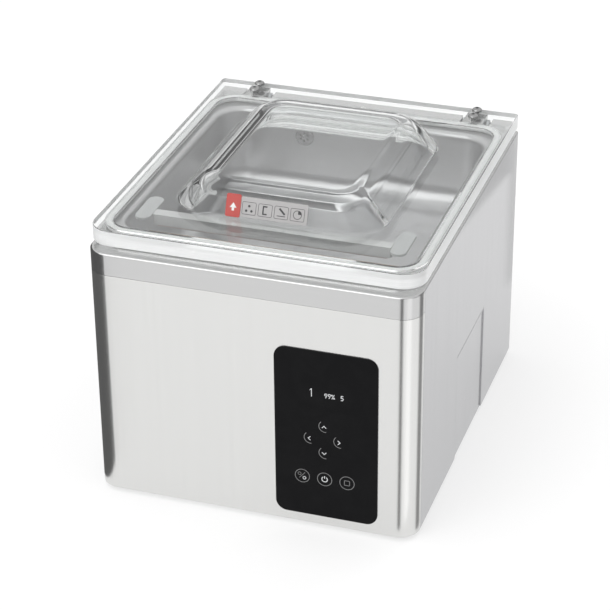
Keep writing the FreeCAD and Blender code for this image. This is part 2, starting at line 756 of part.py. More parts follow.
def seal_cylinders():
    made = []
    for side in (-1, 1):
        at = (d.rod_side * side, -d.bar_line, 0)
        body = rod(d.lift_radius, d.tub_floor, d.lift_top - d.tub_floor, at)
        collar = rod(d.lift_radius + 5, d.tub_floor, 4, at)
        bore = rod(d.rod_radius + d.running_fit, d.tub_floor + 6, 60, at)
        made.append(cut(fuse([body, collar]), [bore], "lift_cylinder"))
    return group(made, "seal_cylinders")


def lift_rods():
    return group([rod(d.rod_radius, d.tub_floor + 14, d.bar_foot - d.tub_floor - 14,
                      (d.rod_side * a, -d.bar_line, 0)) for a in (-1, 1)], "lift_rods")


def seal_bar():
    deep = d.bar_deep / 2
    bar = box((-d.bar_half, -(d.bar_line + deep), d.bar_foot),
              (d.bar_half, -(d.bar_line - deep), d.bar_foot + d.bar_tall))
    grooves = [box((-d.bar_half - 1, -(d.bar_line + y + 1), d.bar_foot + 8),
                   (d.bar_half + 1, -(d.bar_line + y - 1), d.bar_foot + 12)) for y in (-8, 8)]
    return cut(bar, grooves, "seal_bar")


def seal_wires():
    top = d.bar_foot + d.bar_tall
    return group([box((-d.bar_half + 6, -(d.bar_line + y + 1.3), top),
                      (d.bar_half - 6, -(d.bar_line + y - 1.3), top + 0.3)) for y in (-3, 3)],
                 "seal_wires")


def ptfe_cover():
    top = d.bar_foot + d.bar_tall + 0.3
    return box((-d.bar_half + 4, -(d.bar_line + 7), top), (d.bar_half - 4, -(d.bar_line - 7),
                                                         top + 0.4), "ptfe_cover")


# ---- vacuum line --------------------------------------------------------------------

def chamber_port():
    at = (-d.port_side, d.tub_back, d.port_up)
    profile = [(2, -3), (d.port_radius - 1, -3), (d.port_radius, -2), (d.port_radius, 0),
               (8.9, 0), (8.9, 14), (7, 14), (7, 0.5), (2, 0.5)]
    body = turned("port_cover", profile, at, "y")
    slots = []
    for i in range(6):
        angle = math.radians(60 * i + 30)
        slots.append(rod(1.4, d.tub_back - 5, 12,
                         (at[0] + 5.2 * math.cos(angle), 0, at[2] + 5.2 * math.sin(angle)), "y"))
    return cut(body, slots, "chamber_port")


def port_screw():
    profile = [(0, -5.2), (2.4, -5), (3.6, -4), (3.8, -3), (1.9, -3), (1.9, 5), (0, 5)]
    return turned("port_screw", profile, (-d.port_side, d.tub_back, d.port_up), "y")


BLOCK = SimpleNamespace(left=-95, right=-41, front=182, back=226, low=115, high=150,
                        line=209, bore=132)


def suction_hose():
    x, z = -float(d.port_side), float(d.port_up)
    start = float(d.tub_back) + 14
    line, bore = BLOCK.line, BLOCK.bore
    drop = tube_along([(x, start, z), (x, line, z), (x, line, BLOCK.high)], 14, 7.5, 5)
    pump_x, pump_back = 65, float(d.shaft_line) + 60
    across = tube_along([(BLOCK.right, line, bore), (pump_x, line, bore),
                         (pump_x, pump_back, bore)], 34, 7.5, 5)
    return fixed_shape("suction_hose", Part.makeCompound([drop, across]))


def valve_block():
    b = BLOCK
    block = box((b.left, b.front, b.low), (b.right, b.back, b.high))
    ways = [rod(5, b.low + 8, 60, (-d.port_side, b.line, 0)),
            rod(4.8, b.right - 34, 60, (0, b.line, b.bore), "x")]
    return cut(block, ways, "valve_block")


def solenoid_coils():
    b = BLOCK
    coils = []
    for x in (b.left + 12, b.right - 12):
        coils.append(fuse([rod(10, b.front - 30, 30, (x, 0, b.bore), "y"),
                           rod(5, b.front - 36, 6, (x, 0, b.bore), "y")]))
    return group(coils, "solenoid_coils")


# ---- vacuum pump --------------------------------------------------------------------

axis_at = (0, d.shaft_line, d.shaft_up)


def pump_body():
    y, z = d.shaft_line, d.shaft_up
    block = box((d.pump_near, y - 60, z - 60), (d.pump_far, y + 60, z + 60))
    bore = rod(40, d.pump_near + 9.5, d.pump_far - d.pump_near, (0, y, z - 6.5), "x")
    shaft = rod(d.shaft_radius + d.running_fit, d.pump_near - 5, 20, axis_at, "x")
    inlet = rod(5, y + 40, 30, (65, 0, BLOCK.bore), "y")
    fins = [box((d.pump_near - 1, y - 61, z - 50 + 20 * i),
                (d.pump_far + 1, y - 55, z - 42 + 20 * i)) for i in range(5)]
    return cut(block, [bore, shaft, inlet] + fins, "pump_body")


def motor_housing():
    y, z = d.shaft_line, d.shaft_up
    length = d.motor_end + d.pump_near
    pieces = [rod(58, -d.motor_end, length, axis_at, "x")]
    for i in range(24):
        angle = math.radians(15 * i)
        fin = doc.addObject("Part::Box", "fin")
        fin.Width, fin.Height = 2, 8
        bind(fin, "Length", length - 20)
        out = Rotation(Vector(1, 0, 0), math.degrees(angle))
        corner = out.multVec(Vector(0, -1, 57))
        pieces.append(put(fin, (-d.motor_end + 10, y + corner.y, z + corner.z), out))
    pieces.append(box((-110, y - 40, z - 65), (-80, y + 40, z - 50)))
    room = rod(55, -d.motor_end + 6, length, axis_at, "x")
    shaft = rod(d.shaft_radius + d.running_fit, -d.motor_end - 5, 20, axis_at, "x")
    return cut(fuse(pieces), [room, shaft], "motor_housing")


def motor_stator():
    core = rod(55, -105, 100, axis_at, "x")
    return cut(core, [rod(36, -110, 110, axis_at, "x")], "motor_stator")


def fan_cowl():
    start = -d.motor_end - 40
    cup = rod(62, start, 40, axis_at, "x")
    tools = [rod(60, start + 2, 60, axis_at, "x")]
    for i in range(10):
        angle = math.radians(36 * i)
        spot = (0, d.shaft_line + 36 * math.cos(angle), d.shaft_up + 36 * math.sin(angle))
        tools.append(rod(7, start - 5, 10, spot, "x"))
    return cut(cup, tools, "fan_cowl")


def motor_shaft():
    core = rod(d.shaft_radius, -d.motor_end - 32, d.motor_end + 32 + d.pump_far - 2, axis_at, "x")
    drum = rod(35.4, -104, 98, axis_at, "x")
    return fuse([core, drum], "motor_shaft")


def motor_fan():
    start = -d.motor_end - 31
    hub = rod(16, start, 22, axis_at, "x")
    pieces = [hub]
    for i in range(8):
        out = Rotation(Vector(1, 0, 0), 45 * i)
        corner = out.multVec(Vector(0, -1, 14))
        blade = doc.addObject("Part::Box", "blade")
        blade.Length, blade.Width, blade.Height = 20, 2, 38
        pieces.append(put(blade, (start + 1, d.shaft_line + corner.y, d.shaft_up + corner.z), out))
    bore = rod(d.shaft_radius, start - 5, 40, axis_at, "x")
    return cut(fuse(pieces), [bore], "motor_fan")


def vane_blocks(start, length, thick, deep, label):
    made = []
    for i in range(3):
        out = Rotation(Vector(1, 0, 0), 120 * i)
        corner = out.multVec(Vector(0, -thick / 2, 32.4 - deep))
        vane = doc.addObject("Part::Box", label)
        vane.Width, vane.Height = thick, deep
        bind(vane, "Length", length)
        made.append(put(vane, (start, d.shaft_line + corner.y, d.shaft_up + corner.z), out))
    return made


def pump_rotor():
    start, length = d.pump_near + 10, d.pump_far - d.pump_near - 10.5
    drum = rod(33, start, length, axis_at, "x")
    slots = vane_blocks(start - 2, length + 4, 4.2, 18, "slot")
    for slot in slots:
        slot.Height = 20
    bore = rod(d.shaft_radius, start - 5, length + 10, axis_at, "x")
    return cut(drum, slots + [bore], "pump_rotor")


def pump_vanes():
    start, length = d.pump_near + 10, d.pump_far - d.pump_near - 10.5
    return group(vane_blocks(start, length, 4, 17.5, "vane"), "pump_vanes")


def oil_case():
    y, z = d.shaft_line, d.shaft_up
    outer = box((d.pump_far, y - 55, z - 55), (d.pump_far + 70, y + 55, z + 55))
    room = box((d.pump_far + 4, y - 51, z - 51), (d.pump_far + 66, y + 51, z + 51))
    sight = rod(12, d.pump_far + 60, 20, (0, y, z - 25), "x")
    filler = rod(8, z + 45, 20, (d.pump_far + 35, y, 0))
    return cut(outer, [room, sight, filler], "oil_case")


def oil_sight_glass():
    return rod(12, d.pump_far + 66, 4.5, (0, d.shaft_line, d.shaft_up - 25), "x",
               "oil_sight_glass")


def oil_filler_cap():
    z = d.shaft_up
    profile = [(0, 48), (8, 48), (8, 55), (14, 55), (14, 63), (12, 65), (0, 65)]
    return turned("oil_filler_cap", profile, (d.pump_far + 35, d.shaft_line, z))


def exhaust_filter():
    tube = rod(19, d.pump_far + 5, 60, (0, d.shaft_line, d.shaft_up + 22), "x")
    core = rod(10, d.pump_far + 0, 62, (0, d.shaft_line, d.shaft_up + 22), "x")
    return cut(tube, [core], "exhaust_filter")


def pump_mounts():
    spots = [(x, d.shaft_line + y, d.shaft_up - 60) for x in (32, 98) for y in (-45, 45)]
    spots += [(-95, d.shaft_line + y, d.shaft_up - 65) for y in (-30, 30)]
    made = []
    for x, y, top in spots:
        tall = top - floor_top
        profile = [(0, 0), (13, 0), (13, 3), (10, tall / 2), (13, tall - 3), (13, tall), (0, tall)]
        made.append(turned("mount", profile, (x, y, floor_top)))
    return group(made, "pump_mounts")


def transformer_core():
    low = floor_top
    core = box((-170, -180, low), (-90, -140, low + 66))
    windows = [box((x, -190, low + 13), (x + 13, -130, low + 53)) for x in (-157, -116)]
    return cut(core, windows, "transformer_core")


def transformer_coil():
    low = floor_top + 13.2
    coil = box((-156.8, -195, low), (-103.2, -125, low + 39.6))
    return cut(coil, [box((-144, -180, low - 1), (-116, -140, low + 41))], "transformer_coil")


# ---- rear fittings ------------------------------------------------------------------

def mains_inlet():
    x, z, face = -d.inlet_side, d.inlet_up, half_depth
    flange = box((x - 25, face, z - 18), (x + 25, glass_face, z + 18))
    shell = box((x - 13.5, face - 30, z - 15.5), (x + 13.5, face, z + 15.5))
    room = box((x - 12, face - 15, z - 13.5), (x + 12, face + 5, z + 2.9))
    drawer = box((x - 10.1, face - 20, z + 5.4), (x + 10.1, face + 5, z + 13.6))
    screws = [rod(2.1, face - 5, 20, (x + a * 20, 0, z), "y") for a in (-1, 1)]
    counter = [rod(3.6, face, 20, (x + a * 20, 0, z), "y") for a in (-1, 1)]
    pins = [box((x + a - 1, face - 16, z + b - 2), (x + a + 1, face - 3, z + b + 2))
            for a, b in ((-7, -7), (0, -3.6), (7, -7))]
    hollow = cut(fuse([flange, shell]), [room, drawer] + screws + counter, "inlet_shell")
    return fuse([hollow] + pins, "mains_inlet")


def fuse_drawer():
    x, z, face = -d.inlet_side, d.inlet_up, half_depth
    body = box((x - 10, face - 19.8, z + 5.5), (x + 10, face + 1.6, z + 13.5))
    grip = box((x - 4, face + 0.4, z + 8.5), (x + 4, face + 5, z + 10.5))
    return cut(body, [grip], "fuse_drawer")


def switch_housing():
    x, z, face = -d.inlet_side, d.rocker_up, half_depth
    flange = box((x - 12, face, z - 16.2), (x + 12, glass_face, z + 16.2))
    shell = box((x - 10, face - 28, z - 14.3), (x + 10, face, z + 14.3))
    room = box((x - 8.5, face - 12, z - 12.9), (x + 8.5, face + 5, z + 12.9))
    trunnion = rod(1.55, x - 9.4, 18.8, (0, d.rocker_axis, z), "x")
    return cut(fuse([flange, shell]), [room, trunnion], "switch_housing")


def rocker():
    # Drawn tipped to its off side; the two faces of the cap meet in a shallow V.
    tip = 7
    profile = [(3.4, -12), (2, 0), (3.4, 12), (-1, 11.8), (-5, 6), (-5, -6), (-1, -11.8)]
    points = [Vector(-8.2, y, z) for y, z in profile]
    cap = Part.Face(Part.makePolygon(points + points[:1])).extrude(Vector(16.4, 0, 0))
    pin = Part.makeCylinder(1.5, 18.4, Vector(-9.2, 0, 0), Vector(1, 0, 0))
    shape = cap.fuse(pin)
    item = fixed_shape("rocker", shape)
    return put(item, (-d.inlet_side, d.rocker_axis, d.rocker_up),
               Rotation(Vector(1, 0, 0), tip))


def cooling_fan_frame():
    x, z, half = d.fan_side, d.fan_up, d.fan_size / 2
    back = half_depth - d.gauge
    frame = box((x - half, back - d.fan_deep, z - half), (x + half, back, z + half))
    duct = rod(38, back - d.fan_deep - 5, 60, (x, 0, z), "y")
    holes = [rod(2.1, back - d.fan_deep - 5, 60, (x + a * FAN_BOLT, 0, z + b * FAN_BOLT), "y")
             for a in (-1, 1) for b in (-1, 1)]
    shell = cut(frame, [duct] + holes, "fan_shell")
    start = back - d.fan_deep
    hub = rod(17, start, 3, (x, 0, z), "y")
    spokes = [box((x - 39, start, z - 2), (x + 39, start + 3, z + 2)),
              box((x - 2, start, z - 39), (x + 2, start + 3, z + 39))]
    return fuse([shell, hub] + spokes, "cooling_fan_frame")


def cooling_fan_rotor():
    x, z = d.fan_side, d.fan_up
    start = half_depth - d.gauge - d.fan_deep + 3.5
    pieces = [rod(17, start, 19, (x, 0, z), "y")]
    for i in range(7):
        blade = Part.makeBox(20, 20, 1.4, Vector(15.5, -10, -0.7))
        blade.rotate(Vector(0, 0, 0), Vector(1, 0, 0), 35)
        blade.rotate(Vector(0, 0, 0), Vector(0, 1, 0), 360 / 7 * i)
        item = doc.addObject("Part::Feature", "blade")
        item.Shape = blade
        pieces.append(put(item, (x, start + 9.5, z), item.Placement.Rotation))
    return fuse(pieces, "cooling_fan_rotor")


def fan_guard():
    x, z, wire = d.fan_side, d.fan_up, d.proud / 2
    at = (x, half_depth + wire, z)
    pieces = [ring(r, wire, at) for r in (10, 18, 26, 34)]
    for angle in (45, 135, 225, 315):
        arm = doc.addObject("Part::Cylinder", "arm")
        bind(arm, "Radius", wire)
        arm.Height = 37
        turn = Rotation(Vector(0, 1, 0), angle)
        lead = turn.multVec(Vector(0, 0, 9.5))
        pieces.append(put(arm, (x + lead.x, at[1], z + lead.z), turn))
    return fuse(pieces, "fan_guard")


def build_everything():
    made = [front_casing(), top_deck(), chamber_tub(),
            side_panel(-1, "side_panel_left"), side_panel(1, "side_panel_right"),
            side_recess(-1, "side_recess_left"), side_recess(1, "side_recess_right"),
            rear_panel(), base_plate(), rubber_feet(), foot_screws(), rear_panel_screws(),
            control_glass(), control_pcb(), display_module(),
            lid(), lid_gasket(), counter_bar(), silicone_strip(), counter_bar_mounts(),
            hinge_leaves(), lid_screws(), dome_label(), hinge_brackets(), hinge_pins(),
            hinge_springs(), lid_switch_body(), lid_switch_plunger(),
            seal_cylinders(), lift_rods(), seal_bar(), seal_wires(), ptfe_cover(),
            chamber_port(), port_screw(), suction_hose(), valve_block(), solenoid_coils(),
            pump_body(), motor_housing(), motor_stator(), fan_cowl(), motor_shaft(),
            motor_fan(), pump_rotor(), pump_vanes(), oil_case(), oil_sight_glass(),
            oil_filler_cap(), exhaust_filter(), pump_mounts(), transformer_core(),
            transformer_coil(), mains_inlet(), fuse_drawer(), switch_housing(), rocker(),
            cooling_fan_frame(), cooling_fan_rotor(), fan_guard()]
    return made


nodes = build_everything()
doc.recompute()
for item in doc.Objects:
    trouble = {"Invalid", "Error"} & set(item.State)
    if trouble:
        raise RuntimeError(f"{item.Name} ({item.Label}) is {sorted(trouble)}")
for node in nodes:
    if node.Shape.isNull() or not node.Shape.isValid():
        raise RuntimeError(f"{node.Label} has no valid shape")

os.makedirs("parts", exist_ok=True)
for node in nodes:
    node.Shape.exportStep(f"parts/{node.Label}.step")
    size = node.Shape.BoundBox
    print(f"{node.Label:20s} solids {len(node.Shape.Solids):3d}  volume {node.Shape.Volume:11.0f}  "
          f"x {size.XMin:7.1f}..{size.XMax:7.1f}  y {size.YMin:7.1f}..{size.YMax:7.1f}  "
          f"z {size.ZMin:6.1f}..{size.ZMax:6.1f}")
print(len(nodes), "nodes")
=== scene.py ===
import math

import bmesh
import bpy
from mathutils import Matrix, Vector


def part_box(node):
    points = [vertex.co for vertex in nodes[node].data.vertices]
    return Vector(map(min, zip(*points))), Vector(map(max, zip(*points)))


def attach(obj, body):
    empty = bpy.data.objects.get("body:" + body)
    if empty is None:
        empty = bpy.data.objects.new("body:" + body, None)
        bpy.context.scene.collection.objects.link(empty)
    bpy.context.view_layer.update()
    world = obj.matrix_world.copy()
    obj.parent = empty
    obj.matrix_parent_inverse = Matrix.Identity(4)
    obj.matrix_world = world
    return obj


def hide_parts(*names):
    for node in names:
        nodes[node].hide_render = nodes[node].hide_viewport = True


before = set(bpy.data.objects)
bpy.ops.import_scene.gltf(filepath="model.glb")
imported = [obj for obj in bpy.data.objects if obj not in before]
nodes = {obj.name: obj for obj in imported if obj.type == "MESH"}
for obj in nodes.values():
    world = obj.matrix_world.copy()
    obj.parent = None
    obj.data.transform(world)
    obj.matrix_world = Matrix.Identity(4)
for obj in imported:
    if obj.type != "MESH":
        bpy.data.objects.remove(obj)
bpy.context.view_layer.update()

scene = bpy.context.scene
mm = 0.001


def addNode(tree, kind, links=None, **settings):
    node = tree.nodes.new("ShaderNode" + kind)
    for key, value in settings.items():
        setattr(node, key, value)
    for socket, source in (links or {}).items():
        if isinstance(source, bpy.types.NodeSocket):
            tree.links.new(source, node.inputs[socket])
        else:
            node.inputs[socket].default_value = source
    return node


def mathNode(tree, operation, a, b=0.5, clamp=False):
    return addNode(tree, "Math", {0: a, 1: b}, operation=operation, use_clamp=clamp).outputs[0]


def mixColour(tree, factor, a, b, blend="MIX"):
    node = addNode(tree, "Mix", {0: factor, 6: a, 7: b}, data_type="RGBA", blend_type=blend)
    return node.outputs[2]


def ramp(tree, value, low, high, toLow=0.0, toHigh=1.0):
    return addNode(tree, "MapRange", {"Value": value, "From Min": low, "From Max": high,
                                      "To Min": toLow, "To Max": toHigh}).outputs[0]


def newGroup(name, inputs, outputs):
    tree = bpy.data.node_groups.new(name, "ShaderNodeTree")
    for label, kind, value in inputs:
        socket = tree.interface.new_socket(label, in_out="INPUT", socket_type="NodeSocket" + kind)
        socket.default_value = value
    for label, kind in outputs:
        tree.interface.new_socket(label, in_out="OUTPUT", socket_type="NodeSocket" + kind)
    start, end = tree.nodes.new("NodeGroupInput"), tree.nodes.new("NodeGroupOutput")
    return tree, start.outputs, end.inputs


def newMaterial(name):
    material = bpy.data.materials.new(name)
    material.use_nodes = True
    tree = material.node_tree
    return material, tree, tree.nodes["Principled BSDF"]


def useGroup(tree, name, values):
    node = tree.nodes.new("ShaderNodeGroup")
    node.node_tree = bpy.data.node_groups[name]
    for label, value in values.items():
        node.inputs[label].default_value = value
    return node


def colour(red, green, blue):
    return (red, green, blue, 1.0)


def evenGrey(tone):
    return colour(tone, tone, tone)


def makeBrushedGrain():
    # Long fine scratches, slow streaks, hand marks and softened edges on sheet metal.
    tree, given, made = newGroup("brushedGrain", [
        ("Base Color", "Color", colour(0.7, 0.7, 0.69)),
        ("Shade Color", "Color", colour(0.6, 0.6, 0.6)),
        ("Stretch", "Vector", (1400, 1400, 14)),
        ("Contrast", "Float", 0.5), ("Roughness", "Float", 0.25),
        ("Roughness Spread", "Float", 0.08), ("Marks", "Float", 0.05),
        ("Scratch Depth", "Float", 0.00002), ("Edge Radius", "Float", 0.0006),
    ], [("Color", "Color"), ("Roughness", "Float"), ("Normal", "Vector")])
    place = addNode(tree, "TexCoord").outputs["Object"]
    fine = addNode(tree, "Mapping", {"Vector": place, "Scale": given["Stretch"]}).outputs[0]
    scratch = addNode(tree, "TexNoise", {"Vector": fine, "Scale": 1.0, "Detail": 3.0,
                                         "Roughness": 0.65}).outputs[0]
    slow = addNode(tree, "TexNoise", {"Vector": fine, "Scale": 0.09, "Detail": 2.0}).outputs[0]
    hands = addNode(tree, "TexNoise", {"Vector": place, "Scale": 9.0, "Detail": 4.0,
                                       "Roughness": 0.6, "Distortion": 0.8}).outputs[0]
    streak = mathNode(tree, "ADD", mathNode(tree, "MULTIPLY", scratch, 0.55),
                      mathNode(tree, "MULTIPLY", slow, 0.45))
    shade = mathNode(tree, "MULTIPLY", ramp(tree, streak, 0.32, 0.68), given["Contrast"])
    tree.links.new(mixColour(tree, shade, given["Base Color"], given["Shade Color"]),
                   made["Color"])
    spread = mathNode(tree, "MULTIPLY", mathNode(tree, "SUBTRACT", streak, 0.5),
                      given["Roughness Spread"])
    marks = mathNode(tree, "MULTIPLY", ramp(tree, hands, 0.52, 0.72), given["Marks"])
    rough = mathNode(tree, "ADD", mathNode(tree, "ADD", given["Roughness"], spread), marks, True)
    tree.links.new(rough, made["Roughness"])
    edge = addNode(tree, "Bevel", {"Radius": given["Edge Radius"]}, samples=4).outputs[0]
    bump = addNode(tree, "Bump", {"Strength": 1.0, "Distance": given["Scratch Depth"],
                                  "Height": scratch, "Normal": edge}).outputs[0]
    tree.links.new(bump, made["Normal"])


def makeMouldedGrain():
    # Fine moulded texture with slow mottling, for plastics, rubber and cast metal.
    tree, given, made = newGroup("mouldedGrain", [
        ("Base Color", "Color", colour(0.03, 0.03, 0.03)),
        ("Second Color", "Color", colour(0.05, 0.05, 0.05)),
        ("Grain Scale", "Float", 2500.0), ("Mottle", "Float", 0.4),
        ("Roughness", "Float", 0.5), ("Roughness Spread", "Float", 0.12),
        ("Grain Depth", "Float", 0.00004), ("Edge Radius", "Float", 0.0004),
    ], [("Color", "Color"), ("Roughness", "Float"), ("Normal", "Vector")])
    place = addNode(tree, "TexCoord").outputs["Object"]
    pits = addNode(tree, "TexNoise", {"Vector": place, "Scale": given["Grain Scale"],
                                      "Detail": 2.0}).outputs[0]
    mottle = addNode(tree, "TexNoise", {"Vector": place, "Scale": 35.0, "Detail": 5.0,
                                        "Roughness": 0.62}).outputs[0]
    amount = mathNode(tree, "MULTIPLY", ramp(tree, mottle, 0.35, 0.7), given["Mottle"])
    tree.links.new(mixColour(tree, amount, given["Base Color"], given["Second Color"]),
                   made["Color"])
    spread = mathNode(tree, "MULTIPLY", mathNode(tree, "SUBTRACT", mottle, 0.5),
                      given["Roughness Spread"])
    tree.links.new(mathNode(tree, "ADD", given["Roughness"], spread, True), made["Roughness"])
    edge = addNode(tree, "Bevel", {"Radius": given["Edge Radius"]}, samples=3).outputs[0]
    bump = addNode(tree, "Bump", {"Strength": 1.0, "Distance": given["Grain Depth"],
                                  "Height": pits, "Normal": edge}).outputs[0]
    tree.links.new(bump, made["Normal"])


def makeEdgeWear():
    # 1 along worn outer edges, 0 elsewhere, broken up by noise.
    tree, given, made = newGroup("edgeWear", [
        ("Width", "Float", 0.0008), ("Amount", "Float", 0.6)], [("Mask", "Float")])
    bevel = addNode(tree, "Bevel", {"Radius": given["Width"]}, samples=4).outputs[0]
    flat = addNode(tree, "NewGeometry").outputs["Normal"]
    same = addNode(tree, "VectorMath", {0: bevel, 1: flat}, operation="DOT_PRODUCT")
    edge = ramp(tree, same.outputs["Value"], 0.995, 0.85)
    place = addNode(tree, "TexCoord").outputs["Object"]
    chips = addNode(tree, "TexNoise", {"Vector": place, "Scale": 140.0, "Detail": 4.0}).outputs[0]
    broken = mathNode(tree, "MULTIPLY", edge, ramp(tree, chips, 0.35, 0.6))
    tree.links.new(mathNode(tree, "MULTIPLY", broken, given["Amount"]), made["Mask"])


makeBrushedGrain()
makeMouldedGrain()
makeEdgeWear()
print("surface effects ready")


def grainedMaterial(name, group, look, wear=None, **plain):
    material, tree, shader = newMaterial(name)
    surface = useGroup(tree, group, look)
    base = surface.outputs["Color"]
    if wear:
        mask = useGroup(tree, "edgeWear", {"Width": wear["width"], "Amount": wear["amount"]})
        base = mixColour(tree, mask.outputs["Mask"], base, wear["colour"])
    tree.links.new(base, shader.inputs["Base Color"])
    tree.links.new(surface.outputs["Roughness"], shader.inputs["Roughness"])
    tree.links.new(surface.outputs["Normal"], shader.inputs["Normal"])
    for label, value in plain.items():
        shader.inputs[label].default_value = value
    return material


def steel(name, base, shade, stretch, rough, contrast=0.35, spread=0.1, marks=0.04,
          depth=0.000012, edge=0.0007):
    look = {"Base Color": colour(*base), "Shade Color": colour(*shade), "Stretch": stretch,
            "Contrast": contrast, "Roughness": rough, "Roughness Spread": spread,
            "Marks": marks, "Scratch Depth": depth, "Edge Radius": edge}
    return grainedMaterial(name, "brushedGrain", look, Metallic=1.0)


def moulded(name, base, second, rough, grain=2500.0, mottle=0.4, spread=0.12, depth=0.00004,
            edge=0.0004, wear=None, **plain):
    look = {"Base Color": colour(*base), "Second Color": colour(*second), "Grain Scale": grain,
            "Mottle": mottle, "Roughness": rough, "Roughness Spread": spread,
            "Grain Depth": depth, "Edge Radius": edge}
    return grainedMaterial(name, "mouldedGrain", look, wear, **plain)


brushWays = {"upright": (1500.0, 1500.0, 16.0), "across": (16.0, 1500.0, 1500.0),
             "backward": (1500.0, 16.0, 1500.0), "round": (500.0, 500.0, 500.0)}

steelLooks = {
    "casingFront": dict(base=(0.73, 0.73, 0.72), shade=(0.68, 0.68, 0.67),
                        stretch=brushWays["upright"], rough=0.24, marks=0.015, depth=5e-6),
    "casingDeck": dict(base=(0.60, 0.60, 0.60), shade=(0.53, 0.53, 0.53),
                       stretch=brushWays["across"], rough=0.22),
    # Painted shade: the side panels, their recesses and the rear panel get a darker copy of the
    # front's brushed steel, for panels turned away from the light.
    "casingSideShaded": dict(base=(0.49, 0.49, 0.50), shade=(0.455, 0.455, 0.465),
                       stretch=brushWays["upright"], rough=0.24, marks=0.01, depth=3e-6),
    "chamberSteel": dict(base=(0.56, 0.56, 0.565), shade=(0.48, 0.48, 0.485),
                         stretch=brushWays["across"], rough=0.32, marks=0.06),
    "zincPlate": dict(base=(0.55, 0.57, 0.59), shade=(0.42, 0.44, 0.45),
                      stretch=(60.0, 60.0, 60.0), rough=0.36, contrast=0.7, spread=0.3),
    "hingeSteel": dict(base=(0.46, 0.46, 0.455), shade=(0.38, 0.38, 0.38),
                       stretch=brushWays["backward"], rough=0.24),
    "brightScrew": dict(base=(0.40, 0.40, 0.40), shade=(0.32, 0.32, 0.32),
                        stretch=brushWays["round"], rough=0.12, edge=0.0003),
    "springSteel": dict(base=(0.56, 0.56, 0.56), shade=(0.40, 0.40, 0.40),
                        stretch=brushWays["round"], rough=0.22, edge=0.0001),
    "portSteel": dict(base=(0.42, 0.42, 0.42), shade=(0.34, 0.34, 0.34),
                      stretch=brushWays["round"], rough=0.26, edge=0.0004),
    "barAluminium": dict(base=(0.74, 0.75, 0.76), shade=(0.64, 0.65, 0.66),
                         stretch=brushWays["across"], rough=0.30),
    "wireAlloy": dict(base=(0.58, 0.52, 0.45), shade=(0.46, 0.40, 0.34),
                      stretch=brushWays["across"], rough=0.25, edge=0.0001),
    "valveBrass": dict(base=(0.72, 0.55, 0.28), shade=(0.58, 0.43, 0.20),
                       stretch=brushWays["across"], rough=0.28),
    "windingCopper": dict(base=(0.62, 0.27, 0.11), shade=(0.44, 0.17, 0.07),
                          stretch=(300.0, 300.0, 2600.0), rough=0.30, contrast=0.8),
    "coreSteel": dict(base=(0.30, 0.29, 0.28), shade=(0.16, 0.155, 0.15),
                      stretch=(2400.0, 30.0, 30.0), rough=0.42, contrast=0.9, spread=0.3),
    "guardWire": dict(base=(0.70, 0.70, 0.71), shade=(0.58, 0.58, 0.59),
                      stretch=brushWays["round"], rough=0.18, edge=0.0002),
}
steels = {name: steel(name, **look) for name, look in steelLooks.items()}

wornCasting = {"width": 0.0012, "amount": 0.7, "colour": colour(0.42, 0.42, 0.42)}
wornPlastic = {"width": 0.0006, "amount": 0.35, "colour": colour(0.16, 0.16, 0.16)}
mouldedLooks = {
    "blackRubber": dict(base=(0.022, 0.022, 0.022), second=(0.045, 0.045, 0.044), rough=0.62,
                        wear=wornPlastic),
    "hoseRubber": dict(base=(0.03, 0.03, 0.03), second=(0.06, 0.058, 0.056), rough=0.55,
                       grain=900.0, depth=0.0001),
    "blackPlastic": dict(base=(0.020, 0.020, 0.021), second=(0.034, 0.034, 0.036), rough=0.46,
                         wear=wornPlastic),
    "rockerBlack": dict(base=(0.016, 0.016, 0.017), second=(0.028, 0.028, 0.03), rough=0.24,
                        depth=0.00001, wear=wornPlastic),
    "displayBlack": dict(base=(0.012, 0.012, 0.013), second=(0.02, 0.022, 0.024), rough=0.4),
    "circuitBoard": dict(base=(0.012, 0.10, 0.04), second=(0.02, 0.17, 0.075), rough=0.34,
                         mottle=0.9, grain=1200.0),
    "whiteNylon": dict(base=(0.58, 0.585, 0.58), second=(0.53, 0.535, 0.53), rough=0.34,
                       depth=0.00002),
    "frostedPad": dict(base=(0.44, 0.45, 0.45), second=(0.50, 0.51, 0.51), rough=0.42,
                       depth=0.00002),
    "paleSilicone": dict(base=(0.55, 0.46, 0.44), second=(0.60, 0.51, 0.49), rough=0.5),
    "ptfeTape": dict(base=(0.38, 0.24, 0.13), second=(0.48, 0.32, 0.19), rough=0.42,
                     grain=1400.0, mottle=0.8, depth=0.00006),
    "pumpIron": dict(base=(0.10, 0.105, 0.11), second=(0.15, 0.155, 0.16), rough=0.55,
                     grain=700.0, depth=0.00018, edge=0.0012, wear=wornCasting, Metallic=0.6),
    "motorGrey": dict(base=(0.30, 0.32, 0.33), second=(0.38, 0.40, 0.41), rough=0.44,
                      grain=900.0, depth=0.0001, edge=0.0009, wear=wornCasting, Metallic=0.7),
    "vaneGrey": dict(base=(0.09, 0.09, 0.1), second=(0.14, 0.14, 0.15), rough=0.5),
    "filterPaper": dict(base=(0.72, 0.66, 0.54), second=(0.60, 0.53, 0.41), rough=0.85,
                        grain=600.0, mottle=0.9, depth=0.0002),
    "plungerWhite": dict(base=(0.78, 0.78, 0.76), second=(0.70, 0.70, 0.68), rough=0.4),
    "whiteGasket": dict(base=(0.78, 0.785, 0.78), second=(0.72, 0.725, 0.72), rough=0.42,
                        depth=0.00002),
}
mouldings = {name: moulded(name, **look) for name, look in mouldedLooks.items()}

